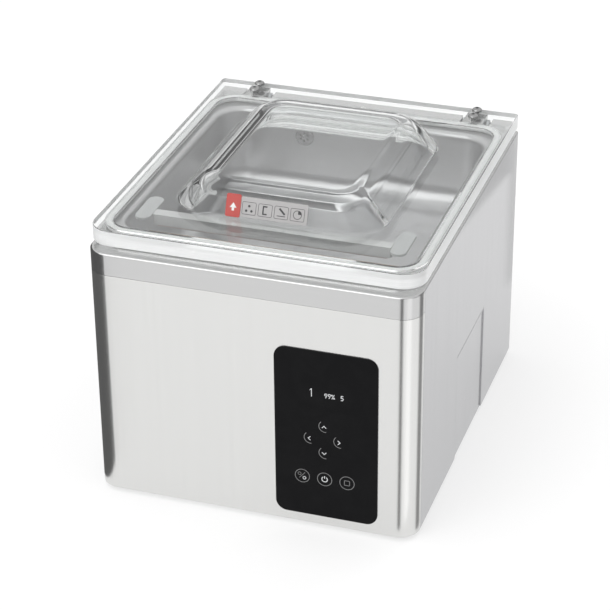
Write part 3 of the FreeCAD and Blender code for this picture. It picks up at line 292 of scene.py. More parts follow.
acrylicLook = {"tint": colour(0.975, 0.985, 0.982), "ior": 1.49, "rough": 0.0,
               "scuffScale": 60.0, "scuffRough": 0.035, "shadow": colour(0.93, 0.94, 0.94)}
sawnLook = {"base": colour(0.96, 0.965, 0.965), "shade": colour(0.88, 0.89, 0.89), "ior": 1.49,
            "rough": 0.28, "roughSpread": 0.15, "through": 0.3, "depth": 0.00002,
            "stretch": (30.0, 30.0, 2200.0)}
sightLook = {"tint": colour(0.93, 0.88, 0.62), "ior": 1.5, "rough": 0.03,
             "scuffScale": 200.0, "scuffRough": 0.05, "shadow": colour(0.8, 0.75, 0.5)}


def clearMaterial(name, look):
    # Clear plastic: faint wiping scuffs in its gloss, and shadows that let light through.
    material, tree, shader = newMaterial(name)
    place = addNode(tree, "TexCoord").outputs["Object"]
    scuff = addNode(tree, "TexNoise", {"Vector": place, "Scale": look["scuffScale"],
                                       "Detail": 5.0, "Distortion": 1.2}).outputs[0]
    tree.links.new(ramp(tree, scuff, 0.55, 0.8, look["rough"], look["scuffRough"]),
                   shader.inputs["Roughness"])
    tint = mixColour(tree, ramp(tree, scuff, 0.3, 0.8, 0.0, 0.25), look["tint"], look["shadow"])
    tree.links.new(tint, shader.inputs["Base Color"])
    shader.inputs["Transmission Weight"].default_value = 1.0
    shader.inputs["IOR"].default_value = look["ior"]
    through = addNode(tree, "BsdfTransparent", {"Color": look["shadow"]})
    path = addNode(tree, "LightPath")
    blend = addNode(tree, "MixShader", {0: path.outputs["Is Shadow Ray"],
                                        1: shader.outputs[0], 2: through.outputs[0]})
    tree.links.new(blend.outputs[0], tree.nodes["Material Output"].inputs["Surface"])
    return material


def sawnMaterial(name, look):
    # The sawn edge of a clear sheet: milky, with fine saw lines across its height.
    material, tree, shader = newMaterial(name)
    place = addNode(tree, "TexCoord").outputs["Object"]
    long = addNode(tree, "Mapping", {"Vector": place, "Scale": look["stretch"]}).outputs[0]
    lines = addNode(tree, "TexNoise", {"Vector": long, "Scale": 1.0, "Detail": 3.0}).outputs[0]
    tree.links.new(mixColour(tree, ramp(tree, lines, 0.35, 0.7), look["base"], look["shade"]),
                   shader.inputs["Base Color"])
    tree.links.new(ramp(tree, lines, 0.3, 0.7, look["rough"],
                        look["rough"] + look["roughSpread"]), shader.inputs["Roughness"])
    bump = addNode(tree, "Bump", {"Strength": 1.0, "Distance": look["depth"], "Height": lines})
    tree.links.new(bump.outputs[0], shader.inputs["Normal"])
    shader.inputs["IOR"].default_value = look["ior"]
    shader.inputs["Transmission Weight"].default_value = look["through"]
    return material


clearAcrylic = clearMaterial("clearAcrylic", acrylicLook)
sawnEdge = sawnMaterial("sawnEdge", sawnLook)
sightGlass = clearMaterial("sightGlass", sightLook)
print("finishes ready")

nodeFinishes = {
    "front_casing": steels["casingFront"], "top_deck": steels["casingDeck"],
    "side_panel_left": steels["casingSideShaded"], "side_panel_right": steels["casingSideShaded"],
    "side_recess_left": steels["casingSideShaded"], "side_recess_right": steels["casingSideShaded"],
    "rear_panel": steels["casingSideShaded"], "chamber_tub": steels["chamberSteel"],
    "base_plate": steels["zincPlate"], "hinge_brackets": steels["zincPlate"],
    "lid_switch_body": steels["zincPlate"], "rear_panel_screws": steels["brightScrew"],
    "port_screw": steels["brightScrew"], "foot_screws": steels["brightScrew"],
    "hinge_pins": steels["brightScrew"], "lift_rods": steels["brightScrew"],
    "hinge_leaves": steels["hingeSteel"], "hinge_springs": steels["springSteel"],
    "seal_bar": steels["barAluminium"], "seal_cylinders": steels["barAluminium"],
    "seal_wires": steels["wireAlloy"], "chamber_port": steels["portSteel"],
    "valve_block": steels["valveBrass"], "transformer_coil": steels["windingCopper"],
    "transformer_core": steels["coreSteel"], "motor_stator": steels["coreSteel"],
    "motor_shaft": steels["coreSteel"], "fan_guard": steels["guardWire"],
    "rubber_feet": mouldings["blackRubber"], "pump_mounts": mouldings["blackRubber"],
    "suction_hose": mouldings["hoseRubber"], "control_pcb": mouldings["circuitBoard"],
    "display_module": mouldings["displayBlack"], "counter_bar": mouldings["whiteNylon"],
    "counter_bar_mounts": mouldings["frostedPad"], "silicone_strip": mouldings["paleSilicone"],
    "ptfe_cover": mouldings["ptfeTape"], "rocker": mouldings["rockerBlack"],
    "pump_body": mouldings["pumpIron"], "pump_rotor": mouldings["pumpIron"],
    "motor_housing": mouldings["motorGrey"], "oil_case": mouldings["motorGrey"],
    "pump_vanes": mouldings["vaneGrey"], "oil_sight_glass": sightGlass,
    "exhaust_filter": mouldings["filterPaper"], "lid_switch_plunger": mouldings["plungerWhite"],
}
for name in ("solenoid_coils", "mains_inlet", "fuse_drawer", "switch_housing",
             "cooling_fan_frame", "cooling_fan_rotor", "fan_cowl", "motor_fan",
             "oil_filler_cap"):
    nodeFinishes[name] = mouldings["blackPlastic"]
for name, material in nodeFinishes.items():
    for slot in nodes[name].material_slots:
        slot.material = material
print("finishes on", len(nodeFinishes), "frame parts")


def finishMesh(name, points, faces, material, smoothAngle=35.0):
    mesh = bpy.data.meshes.new(name)
    mesh.from_pydata(points, [], faces)
    work = bmesh.new()
    work.from_mesh(mesh)
    bmesh.ops.recalc_face_normals(work, faces=work.faces)
    for face in work.faces:
        face.smooth = True
    work.to_mesh(mesh)
    work.free()
    mesh.set_sharp_from_angle(angle=math.radians(smoothAngle))
    mesh.materials.append(material)
    made = bpy.data.objects.new(name, mesh)
    scene.collection.objects.link(made)
    made.modifiers.new("even", "WEIGHTED_NORMAL").keep_sharp = True
    return made


def loft(rings, closed=False):
    # Points and faces of a skin through equal rings; open stacks get flat end caps.
    count = len(rings[0])
    points = [point for ring in rings for point in ring]
    faces = []
    for row in range(len(rings) - (0 if closed else 1)):
        a, b = row * count, (row + 1) % len(rings) * count
        faces += [(a + i, a + (i + 1) % count, b + (i + 1) % count, b + i)
                  for i in range(count)]
    if not closed:
        faces += [tuple(reversed(range(count))), tuple(range(len(points) - count, len(points)))]
    return points, faces


def joinParts(parts):
    points, faces = [], []
    for partPoints, partFaces in parts:
        faces += [tuple(i + len(points) for i in face) for face in partFaces]
        points += partPoints
    return points, faces


def cornerArc(centre, radius, start, steps):
    return [(centre[0] + radius * math.cos(start + math.pi / 2 * i / steps),
             centre[1] + radius * math.sin(start + math.pi / 2 * i / steps))
            for i in range(steps + 1)]


def roundRectangle(left, low, right, high, radii, steps=8):
    # Corner order: low left, low right, high right, high left.
    corners = [(left, low, 1, 1), (right, low, -1, 1), (right, high, -1, -1),
               (left, high, 1, -1)]
    starts = (math.pi, math.pi * 1.5, 0.0, math.pi / 2)
    points = []
    for (x, y, dx, dy), radius, start in zip(corners, radii, starts):
        points += cornerArc((x + dx * radius, y + dy * radius), radius, start, steps)
    return points


def levelLoop(half, front, back, frontCorner, backCorner, z, steps=12):
    flat = roundRectangle(-half, -front, half, back,
                          (frontCorner, frontCorner, backCorner, backCorner), steps)
    return [(x, y, z) for x, y in flat]


def softChain(keys, steps=6):
    # Keys are ((half, front, back, frontCorner, backCorner, z), softness); each inner key
    # is rounded over its softness along the section.
    chain = [keys[0][0]]
    for i in range(1, len(keys) - 1):
        here, softness = keys[i]
        ends = []
        for other in (keys[i - 1][0], keys[i + 1][0]):
            run = max(math.hypot(other[0] - here[0], other[5] - here[5]),
                      math.hypot(other[1] - here[1], other[5] - here[5]))
            share = min(0.48, softness / run)
            ends.append([h + (o - h) * share for h, o in zip(here, other)])
        for k in range(steps + 1):
            t = k / steps
            chain.append([a * (1 - t) ** 2 + h * 2 * t * (1 - t) + b * t * t
                          for a, h, b in zip(ends[0], here, ends[1])])
    chain.append(keys[-1][0])
    return chain


def spunRings(profile, centre, steps):
    # Rings of a part turned about an upright axis; the profile is (radius, height).
    rings = []
    for radius, height in profile:
        ring = []
        for i in range(steps):
            angle = 2 * math.pi * i / steps
            spot = (radius * math.cos(angle), radius * math.sin(angle), height)
            ring.append(tuple(c + s for c, s in zip(centre, spot)))
        rings.append(ring)
    return rings


lidLow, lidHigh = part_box("lid")
# The dome's levels are (half width, front, back, corner, height) in mm.
lidShape = {"frontCorner": 28 * mm, "backCorner": 3 * mm,
            "crown": (91, 121, 116, 28, 35), "shoulder": (106, 139, 133, 36, 26),
            "foot": (130, 150, 138, 44, 0), "crownInset": 9 * mm, "wall": 8 * mm,
            "soft": {"crown": 3.5, "shoulder": 6.0, "foot": 3.2, "edge": 1.6, "groove": 0.3,
                     "cavity": 5.0},
            "grooveHalf": (184, 194), "grooveFront": (201, 211), "grooveBack": (189, 199),
            "grooveCorner": (25, 35), "grooveDeep": 5 * mm, "clear": 0.05 * mm,
            "sawnBeyond": 1, "sawnBack": 10 * mm, "uprightBelow": 0.5, "smoothAngle": 50.0}


def makeClearLid(s):
    top = lidHigh.z - s["crown"][4] * mm
    under = lidLow.z + s["clear"]
    half, front, back = lidHigh.x, -lidLow.y, lidHigh.y
    soft = {key: value * mm for key, value in s["soft"].items()}

    def ring(name, shrink=0.0, drop=0.0, inset=0.0):
        h, f, b, r, up = [value * mm for value in s[name]]
        less = shrink + inset
        return (h - less, f - less, b - less, r - shrink / 2 - inset, r - shrink / 2 - inset,
                top + up - drop)

    def groove(side, z):
        h, f, b, r = [s[key][side] * mm
                      for key in ("grooveHalf", "grooveFront", "grooveBack", "grooveCorner")]
        return (h, f, b, r, r, z)

    edge = (half, front, back, s["frontCorner"], s["backCorner"])
    roof = under + s["grooveDeep"]
    wall = s["wall"]
    cavityFoot = list(ring("foot", wall))
    cavityFoot[5] = under
    keys = [(ring("crown", inset=s["crownInset"]), 0), (ring("crown"), soft["crown"]),
            (ring("shoulder"), soft["shoulder"]), (ring("foot"), soft["foot"]),
            (edge + (top,), soft["edge"]), (edge + (under,), soft["edge"] / 2),
            (groove(1, under), soft["groove"]), (groove(1, roof), soft["groove"]),
            (groove(0, roof), soft["groove"]), (groove(0, under), soft["groove"]),
            (cavityFoot, soft["cavity"]), (ring("shoulder", wall, wall), soft["cavity"]),
            (ring("crown", wall, wall), soft["cavity"]),
            (ring("crown", wall, wall, s["crownInset"]), 0)]
    rings = [levelLoop(*values) for values in softChain(keys)]
    made = finishMesh("clearLid", *loft(rings), clearAcrylic, s["smoothAngle"])
    made.data.materials.append(sawnEdge)
    for face in made.data.polygons:
        # Only the slab's outer wall is sawn; the groove's walls inside it stay clear.
        if abs(face.normal.z) < s["uprightBelow"] and under < face.center.z < top:
            across, forward, backward = abs(face.center.x), -face.center.y, face.center.y
            outward = (across > half - s["frontCorner"] or forward > front - s["frontCorner"]
                       or backward > back - s["sawnBack"])
            beyondGroove = (across > (s["grooveHalf"][1] + s["sawnBeyond"]) * mm
                            or forward > (s["grooveFront"][1] + s["sawnBeyond"]) * mm
                            or backward > (s["grooveBack"][1] + s["sawnBeyond"]) * mm)
            face.material_index = 1 if outward and beyondGroove else 0
    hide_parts("lid")
    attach(made, "lid")


makeClearLid(lidShape)
print("clear lid made")


gasketLow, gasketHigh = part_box("lid_gasket")
gasketShape = {"wide": 9.4 * mm, "corner": 30 * mm, "square": 2.6, "points": 20,
               "middleIn": 5 * mm, "clear": 0.04 * mm, "smoothAngle": 60.0}


def makeLidGasket(s):
    # A soft square-shouldered ring; each point of its section sweeps round the lid.
    middle = (gasketLow.z + gasketHigh.z) / 2
    tall = (gasketHigh.z - gasketLow.z) / 2 - s["clear"]
    half, front, back = [edge - s["middleIn"]
                         for edge in (gasketHigh.x, -gasketLow.y, gasketHigh.y)]
    rings = []
    for i in range(s["points"]):
        angle = 2 * math.pi * i / s["points"]
        c, n = math.cos(angle), math.sin(angle)
        out = math.copysign(abs(c) ** (2 / s["square"]), c) * s["wide"] / 2
        up = math.copysign(abs(n) ** (2 / s["square"]), n) * tall
        rings.append(levelLoop(half + out, front + out, back + out, s["corner"] + out,
                               s["corner"] + out, middle + up))
    made = finishMesh("lidGasket", *loft(rings, closed=True), mouldings["whiteGasket"],
                      s["smoothAngle"])
    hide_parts("lid_gasket")
    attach(made, "lid")


makeLidGasket(gasketShape)
print("gasket made")


screwLow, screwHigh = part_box("lid_screws")
screwShape = {"radius": 6.5 * mm, "dome": 4.2 * mm, "skirt": 0.8 * mm, "shank": 2.5 * mm,
              "relief": 0.3 * mm, "socket": 2.0 * mm, "socketDeep": 2.4 * mm,
              "rimDrop": 0.15 * mm, "lipShare": 1.25, "domeSteps": 8, "roundSteps": 36}


def makeLidScrews(s):
    # Domed heads with a hexagon socket, on plain shanks.
    seat = screwHigh.z - s["dome"]
    profile = [(s["shank"], screwLow.z), (s["shank"], seat),
               (s["radius"] - s["relief"], seat), (s["radius"], seat + s["relief"]),
               (s["radius"], seat + s["skirt"])]
    rise = s["dome"] - s["skirt"]
    lip = math.acos(s["socket"] * s["lipShare"] / s["radius"])
    for i in range(1, s["domeSteps"] + 1):
        angle = lip * i / s["domeSteps"]
        profile.append((s["radius"] * math.cos(angle), seat + s["skirt"]
                        + rise * math.sin(angle) / math.sin(lip)))
    parts = []
    spots = [(x, y) for x in (screwLow.x + s["radius"], screwHigh.x - s["radius"])
             for y in (screwLow.y + s["radius"], screwHigh.y - s["radius"])]
    for x, y in spots:
        rings = spunRings(profile, (x, y, 0), s["roundSteps"])
        for z in (screwHigh.z - s["rimDrop"], screwHigh.z - s["socketDeep"]):
            ring = []
            for i in range(s["roundSteps"]):
                angle = 2 * math.pi * i / s["roundSteps"]
                reach = s["socket"] / math.cos((angle % (math.pi / 3)) - math.pi / 6)
                ring.append((x + reach * math.cos(angle), y + reach * math.sin(angle), z))
            rings.append(ring)
        parts.append(loft(rings))
    made = finishMesh("lidScrews", *joinParts(parts), steels["brightScrew"])
    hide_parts("lid_screws")
    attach(made, "lid")


makeLidScrews(screwShape)
print("lid screws made")


def bandPrism(points, width, closed, place, thick):
    # A line of even width through flat points, as a thin closed prism laid by `place`.
    count = len(points)
    rings = []
    for i, (x, y) in enumerate(points):
        ways = []
        if closed or i > 0:
            px, py = points[i - 1]
            ways.append(Vector((x - px, y - py)).normalized())
        if closed or i < count - 1:
            nx, ny = points[(i + 1) % count]
            ways.append(Vector((nx - x, ny - y)).normalized())
        along = sum(ways, Vector((0, 0))).normalized()
        reach = width / 2 / max(0.4, along.dot(ways[0]))  # no spike at a sharp turn
        sx, sy = -along.y * reach, along.x * reach
        rings.append([place(x + sx, y + sy, 0), place(x - sx, y - sy, 0),
                      place(x - sx, y - sy, thick), place(x + sx, y + sy, thick)])
    return loft(rings, closed)


def solidPrism(points, place, thick):
    return loft([[place(x, y, 0) for x, y in points], [place(x, y, thick) for x, y in points]])


def arcPoints(x, y, radius, start, end, steps=24):
    turn = [math.radians(start + (end - start) * i / steps) for i in range(steps + 1)]
    return [(x + radius * math.cos(a), y + radius * math.sin(a)) for a in turn]


def circlePoints(x, y, radius, steps=40):
    return arcPoints(x, y, radius, 0, 360, steps)[:-1]


glassLow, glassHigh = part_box("control_glass")
# Plain numbers are mm, and places are from the glass's lower left corner. The edge's steps are
# shares of its bevel, inward and back; arrowLine, bold and fine are shares of the line.
panelShape = {"corner": 14 * mm, "bevel": 0.9 * mm, "ink": 0.05 * mm, "lift": 0.02 * mm,
              "edge": ((0, 1), (0.12, 0.55), (0.45, 0.14), (1, 0), (3, 0)),
              "pad": (60.5, 106.8), "reach": 18.0, "arrowRing": 7.6, "ringShift": (1.3, 0.8),
              "keyRing": 8.8, "keyRow": 53.1, "keyMiddle": 60.9, "keyApart": 27.4,
              "digits": (44.8, 167.4), "digitTall": 6.0, "digitLine": 0.85,
              "line": 0.75, "arrowLine": 1.15, "bold": 1.3, "fine": 0.8}
# The plain symbols of the keys, in mm from each key's middle.
keyMarks = {"arrow": ((-1.4, 2.6), (1.4, 0), (-1.4, -2.6)), "arrowArc": (130, 280),
            "powerRadius": 3.4, "powerArc": (125, 415), "powerStem": ((0, 1.0), (0, 4.6)),
            "slash": ((-3.6, -3.2), (3.4, 5.0)), "highRing": (-3.4, 2.6, 1.9),
            "lowRing": (2.6, -2.6, 1.8), "square": 3.2, "squareCorner": 0.8}
glassLook = {"base": colour(0.004, 0.004, 0.0046), "haze": colour(0.006, 0.006, 0.0066),
             "rough": 0.04, "smearRough": 0.16, "ior": 1.5, "gloss": 0.09}
inkLook = {"bright": colour(0.60, 0.61, 0.62), "dim": colour(0.17, 0.17, 0.17), "thin": 0.8,
           "glowTone": 0.9, "glow": 0.25}


def panelGlassMaterial(look):
    # Black glass with faint finger smears in its gloss.
    material, tree, shader = newMaterial("panelGlass")
    place = addNode(tree, "TexCoord").outputs["Object"]
    smear = addNode(tree, "TexNoise", {"Vector": place, "Scale": 28.0, "Detail": 4.0,
                                       "Distortion": 1.5}).outputs[0]
    tree.links.new(ramp(tree, smear, 0.5, 0.75, look["rough"], look["smearRough"]),
                   shader.inputs["Roughness"])
    tree.links.new(mixColour(tree, ramp(tree, smear, 0.4, 0.8), look["base"], look["haze"]),
                   shader.inputs["Base Color"])
    shader.inputs["IOR"].default_value = look["ior"]
    shader.inputs["Specular IOR Level"].default_value = look["gloss"]
    return material


def inkMaterial(name, tone, look):
    # Screen-printed ink: slightly uneven cover, with a faint even glow.
    material, tree, shader = newMaterial(name)
    place = addNode(tree, "TexCoord").outputs["Object"]
    cover = addNode(tree, "TexNoise", {"Vector": place, "Scale": 900.0, "Detail": 3.0}).outputs[0]
    thin = colour(*[part * look["thin"] for part in tone[:3]])
    tree.links.new(mixColour(tree, ramp(tree, cover, 0.35, 0.65), tone, thin),
                   shader.inputs["Base Color"])
    tree.links.new(ramp(tree, cover, 0.3, 0.7, 0.35, 0.5), shader.inputs["Roughness"])
    lit = colour(*[part * look["glowTone"] for part in tone[:3]])
    shader.inputs["Emission Color"].default_value = lit
    shader.inputs["Emission Strength"].default_value = look["glow"]
    return material


def makeTouchGlass(s):
    face, bevel = glassLow.y + s["ink"] * 2, s["bevel"]
    steps = [(bevel * inward, face + bevel * back) for inward, back in s["edge"]]
    rings = []
    for inset, y in [(0, glassHigh.y)] + steps:
        flat = roundRectangle(glassLow.x + inset, glassLow.z + inset, glassHigh.x - inset,
                              glassHigh.z - inset, (s["corner"] - inset,) * 4, 12)
        rings.append([(x, y, z) for x, z in flat])
    made = finishMesh("touchGlass", *loft(rings), panelGlassMaterial(glassLook))
    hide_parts("control_glass")
    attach(made, "casing")


def digitStrokes(x, z, tall):
    # Strokes of plain numerals and a percent sign, in shares of their height: a tall 1, then
    # 99 % and 5.
    wide = tall * 0.5
    slant = tall * 0.12

    def nine(left):
        head = arcPoints(left + wide / 2 + slant, z + tall * 0.22, tall * 0.24, -30, 330, 16)
        return [head, [(left + wide + slant, z + tall * 0.28), (left + wide * 0.6, z - tall * 0.5)]]

    strokes = [[(x - tall * 0.2, z + tall * 0.85), (x + tall * 0.12, z + tall * 1.1),
                (x + tall * 0.12, z - tall * 0.6)]]
    strokes += nine(x + tall * 2.65) + nine(x + tall * 3.35)
    sign = x + tall * 4.2
    strokes.append([(sign, z - tall * 0.5), (sign + wide, z + tall * 0.5)])
    strokes += [circlePoints(sign + wide * across, z + tall * up, tall * 0.11, 10)
                for across, up in ((0.05, 0.3), (0.95, -0.3))]
    five = x + tall * 6.0
    strokes.append([(five + wide, z + tall * 0.5), (five + wide * 0.2, z + tall * 0.5),
                    (five + wide * 0.1, z + tall * 0.05), (five + wide * 0.7, z + tall * 0.1),
                    (five + wide, z - tall * 0.18), (five + wide * 0.7, z - tall * 0.48),
                    (five, z - tall * 0.44)])
    return strokes


def makePanelMarks(s, marks):
    face = glassLow.y + s["ink"] * 2

    def lay(x, z, up):
        return (glassLow.x + x, face + s["lift"] - up, glassLow.z + z)

    def placed(points, x, z):
        return [(x + a * mm, z + b * mm) for a, b in points]

    line, thick = s["line"] * mm, s["ink"] + s["lift"]
    bold, fine = line * s["bold"], line * s["fine"]
    bright, dim = [], []
    padX, padZ = [value * mm for value in s["pad"]]
    ringX, ringZ = [value * mm for value in s["ringShift"]]
    for way in (0, 90, 180, 270):
        c, n = math.cos(math.radians(way)), math.sin(math.radians(way))
        x, z = padX + s["reach"] * mm * c, padZ + s["reach"] * mm * n
        ring = arcPoints(x + ringX, z + ringZ, s["arrowRing"] * mm, *marks["arrowArc"])
        dim.append(bandPrism(ring, line, False, lay, thick))
        turned = [(a * c - b * n, a * n + b * c) for a, b in marks["arrow"]]
        bright.append(bandPrism(placed(turned, x, z), line * s["arrowLine"], False, lay, thick))
    keyZ, middle, apart = [s[key] * mm for key in ("keyRow", "keyMiddle", "keyApart")]
    left, right = middle - apart, middle + apart
    for x in (left, middle, right):
        dim.append(bandPrism(circlePoints(x, keyZ, s["keyRing"] * mm), line, True, lay, thick))
    power = arcPoints(middle, keyZ, marks["powerRadius"] * mm, *marks["powerArc"])
    bright.append(bandPrism(power, bold, False, lay, thick))
    bright.append(bandPrism(placed(marks["powerStem"], middle, keyZ), bold, False, lay, thick))
    dim.append(bandPrism(placed(marks["slash"], left, keyZ), fine, False, lay, thick))
    for parts, width, mark in ((dim, fine, "highRing"), (bright, line, "lowRing")):
        a, b, radius = [value * mm for value in marks[mark]]
        parts.append(bandPrism(circlePoints(left + a, keyZ + b, radius, 20), width, True, lay,
                               thick))
    half, corner = marks["square"] * mm, marks["squareCorner"] * mm
    square = roundRectangle(right - half, keyZ - half, right + half, keyZ + half, (corner,) * 4, 3)
    dim.append(bandPrism(square, line, True, lay, thick))
    digitX, digitZ = [value * mm for value in s["digits"]]
    for stroke in digitStrokes(digitX, digitZ, s["digitTall"] * mm):
        bright.append(bandPrism(stroke, s["digitLine"] * mm, False, lay, thick))
    for key, parts in (("bright", bright), ("dim", dim)):
        name = key + "Marks"
        made = finishMesh(name, *joinParts(parts), inkMaterial(name, inkLook[key], inkLook))
        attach(made, "casing")


makeTouchGlass(panelShape)
makePanelMarks(panelShape, keyMarks)
print("touch panel made")


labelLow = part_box("dome_label")[0]
stripShape = {"rise": 26 * mm, "leanIn": 11 * mm, "foot": (78 * mm, 35 * mm), "off": 0.30 * mm,
              "thick": 0.25 * mm, "symbolThick": 0.06 * mm, "sink": 0.02 * mm,
              "tab": (4.5, 0.2, 22.5, 27.4), "strip": (23, 1.6, 104, 25.6),
              "corners": {"tab": 2.4, "strip": 1.0, "frame": 1.6},
              "firstFrame": 33.0, "frameApart": 19.6, "frame": (8.3, 7.2), "middle": 12.6,
              "line": 0.75}
# The plain symbols, in mm from the middle of each frame or of the tab; weights are shares of
# the line.
stripMarks = {"dots": ((-3.2, -3.0), (3.2, -3.0), (0, 2.6)), "dotRadius": 1.5,
              "bracket": ((2.4, 4.4), (-2.4, 4.4), (-2.4, -4.4), (2.4, -4.4)),
              "slant": ((-2.6, 4.8), (4.4, -1.8)), "ground": ((-5.0, -4.0), (5.0, -4.0)),
              "weights": {"frame": 0.7, "bracket": 2.2, "slant": 3.0, "ground": 1.2},
              "dial": 4.9, "wedge": 4.6, "wedgeShift": 0.6,
              "arrow": ((-4.2, -1.4), (4.2, -1.4), (0, 4.6)), "stem": (1.5, -5.0, -1.5),
              "stemCorner": 0.3}
stripLook = {"tab": ((0.50, 0.06, 0.05), (0.44, 0.048, 0.04)),
             "strip": ((0.44, 0.43, 0.43), (0.38, 0.37, 0.37)),
             "dark": ((0.035, 0.035, 0.038), (0.05, 0.05, 0.052)),
             "white": ((0.86, 0.85, 0.84), (0.8, 0.79, 0.78))}


def makeDomeStrip(s, marks):
    # A red tab and four plain symbols on a grey film, on the leaning wall of the dome; places
    # along it are counted from its left end.
    lean = math.atan2(s["leanIn"], s["rise"])
    footY, footZ = lidLow.y + s["foot"][0], lidHigh.z - s["foot"][1]

    def lay(x, up, out):
        out += s["off"]
        return (labelLow.x + x, footY + up * math.sin(lean) - out * math.cos(lean),
                footZ + up * math.cos(lean) + out * math.sin(lean))

    def layOn(x, up, out):
        return lay(x, up, out + s["thick"] - s["sink"])

    films = {name: moulded(name + "Film", *tones, rough=0.3, grain=500.0, depth=0.00001,
                           mottle=0.7)
             for name, tones in stripLook.items()}
    thin = s["symbolThick"]
    line, mid = s["line"] * mm, s["middle"] * mm
    corners = {key: (radius * mm,) * 4 for key, radius in s["corners"].items()}
    weights = {key: line * share for key, share in marks["weights"].items()}

    def placed(points, x):
        return [(x + a * mm, mid + b * mm) for a, b in points]

    parts = {"tab": [], "strip": [], "dark": [], "white": []}
    for name in ("tab", "strip"):
        edges = [value * mm for value in s[name]]
        parts[name].append(solidPrism(roundRectangle(*edges, corners[name], 6), lay, s["thick"]))
    wide, tall = [value * mm for value in s["frame"]]
    middles = [(s["firstFrame"] + s["frameApart"] * i) * mm for i in range(4)]
    for x in middles:
        outline = roundRectangle(x - wide, mid - tall, x + wide, mid + tall, corners["frame"], 4)
        parts["dark"].append(bandPrism(outline, weights["frame"], True, layOn, thin))
    dotsX, bracketX, slantX, dialX = middles
    for x, z in placed(marks["dots"], dotsX):
        spot = circlePoints(x, z, marks["dotRadius"] * mm, 16)
        parts["dark"].append(solidPrism(spot, layOn, thin))
    for key, x in (("bracket", bracketX), ("slant", slantX), ("ground", slantX)):
        parts["dark"].append(bandPrism(placed(marks[key], x), weights[key], False, layOn, thin))
    dial = circlePoints(dialX, mid, marks["dial"] * mm, 28)
    parts["dark"].append(bandPrism(dial, line, True, layOn, thin))
    shift = marks["wedgeShift"] * mm
    arc = arcPoints(dialX, mid, marks["wedge"] * mm, 0, 90, 10)
    wedge = [(x + shift, z + shift) for x, z in [(dialX, mid)] + arc]
    parts["dark"].append(solidPrism(wedge, layOn, thin))
    tabX = (s["tab"][0] + s["tab"][2]) / 2 * mm
    parts["white"].append(solidPrism(placed(marks["arrow"], tabX), layOn, thin))
    half, low, high = [value * mm for value in marks["stem"]]
    stem = roundRectangle(tabX - half, mid + low, tabX + half, mid + high,
                          (marks["stemCorner"] * mm,) * 4, 2)
    parts["white"].append(solidPrism(stem, layOn, thin))
    names = {"tab": "redTab", "strip": "stripFilm", "dark": "stripSymbols", "white": "tabArrow"}
    for key, name in names.items():
        made = finishMesh(name, *joinParts(parts[key]), films[key])
        if key == "strip":
            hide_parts("dome_label")
        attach(made, "lid")


makeDomeStrip(stripShape, stripMarks)
print("dome strip made")


stageLook = {"floorSize": 6.0, "white": 1.0, "shadowShare": 0.4, "sideGrey": 0.45,
             "overhead": 0.9, "horizonGrey": 0.28, "horizon": (-0.02, 0.03, 0.13, 0.22),
             "sideFade": (0.45, 0.9), "lowFade": (0.5, 0.1),
             "softbox": (-0.30, -0.78, 0.55), "boxEdge": (0.84, 0.92), "boxGlow": 2.2,
             "floorGlow": 0.98, "floorPale": 0.97, "floorShade": 0.95, "floorDrop": 0.4 * mm}


def makeWorld(s):
    # Bright studio: white overhead, greyer low at the sides and in a strip along the horizon,
    # with a soft box high at the front left.
    world = bpy.data.worlds.new("studio")
    world.use_nodes = True
    tree = world.node_tree
    back = tree.nodes["Background"]
    way = addNode(tree, "TexCoord").outputs["Generated"]
    split = addNode(tree, "SeparateXYZ", {0: way})
    side = ramp(tree, mathNode(tree, "ABSOLUTE", split.outputs["X"]), *s["sideFade"])
    low = ramp(tree, split.outputs["Z"], *s["lowFade"])
    dim = mathNode(tree, "MULTIPLY", side, low)
    glow = mixColour(tree, dim, evenGrey(s["overhead"]), evenGrey(s["sideGrey"]))
    rise, full, fall, end = s["horizon"]
    strip = mathNode(tree, "MULTIPLY", ramp(tree, split.outputs["Z"], rise, full),
                     ramp(tree, split.outputs["Z"], end, fall))
    glow = mixColour(tree, strip, glow, evenGrey(s["horizonGrey"]))
    toBox = addNode(tree, "VectorMath", {0: way, 1: Vector(s["softbox"]).normalized()},
                    operation="DOT_PRODUCT").outputs["Value"]
    glow = mixColour(tree, ramp(tree, toBox, *s["boxEdge"]), glow, evenGrey(s["boxGlow"]))
    plain = evenGrey(s["white"])
    seen = addNode(tree, "LightPath").outputs["Is Camera Ray"]
    tree.links.new(mixColour(tree, seen, glow, plain), back.inputs["Color"])
    back.inputs["Strength"].default_value = 1.0
    scene.world = world


def makeFloor(s):
    material, tree, shader = newMaterial("paleFloor")
    place = addNode(tree, "TexCoord").outputs["Object"]
    cloud = addNode(tree, "TexNoise", {"Vector": place, "Scale": 2.0, "Detail": 3.0}).outputs[0]
    tree.links.new(mixColour(tree, cloud, evenGrey(s["floorPale"]), evenGrey(s["floorShade"])),
                   shader.inputs["Base Color"])
    shader.inputs["Roughness"].default_value = 0.9
    shader.inputs["Specular IOR Level"].default_value = 0.0
    glow = addNode(tree, "Emission", {"Color": evenGrey(1.0), "Strength": s["floorGlow"]})
    blend = addNode(tree, "MixShader", {0: s["shadowShare"], 1: glow.outputs[0],
                                        2: shader.outputs[0]})
    tree.links.new(blend.outputs[0], tree.nodes["Material Output"].inputs["Surface"])
    flat = circlePoints(0, 0, s["floorSize"], 64)
    mesh = bpy.data.meshes.new("floor")
    mesh.from_pydata([(x, y, -s["floorDrop"]) for x, y in flat], [], [tuple(range(len(flat)))])
    mesh.materials.append(material)
    made = bpy.data.objects.new("floor", mesh)
    scene.collection.objects.link(made)


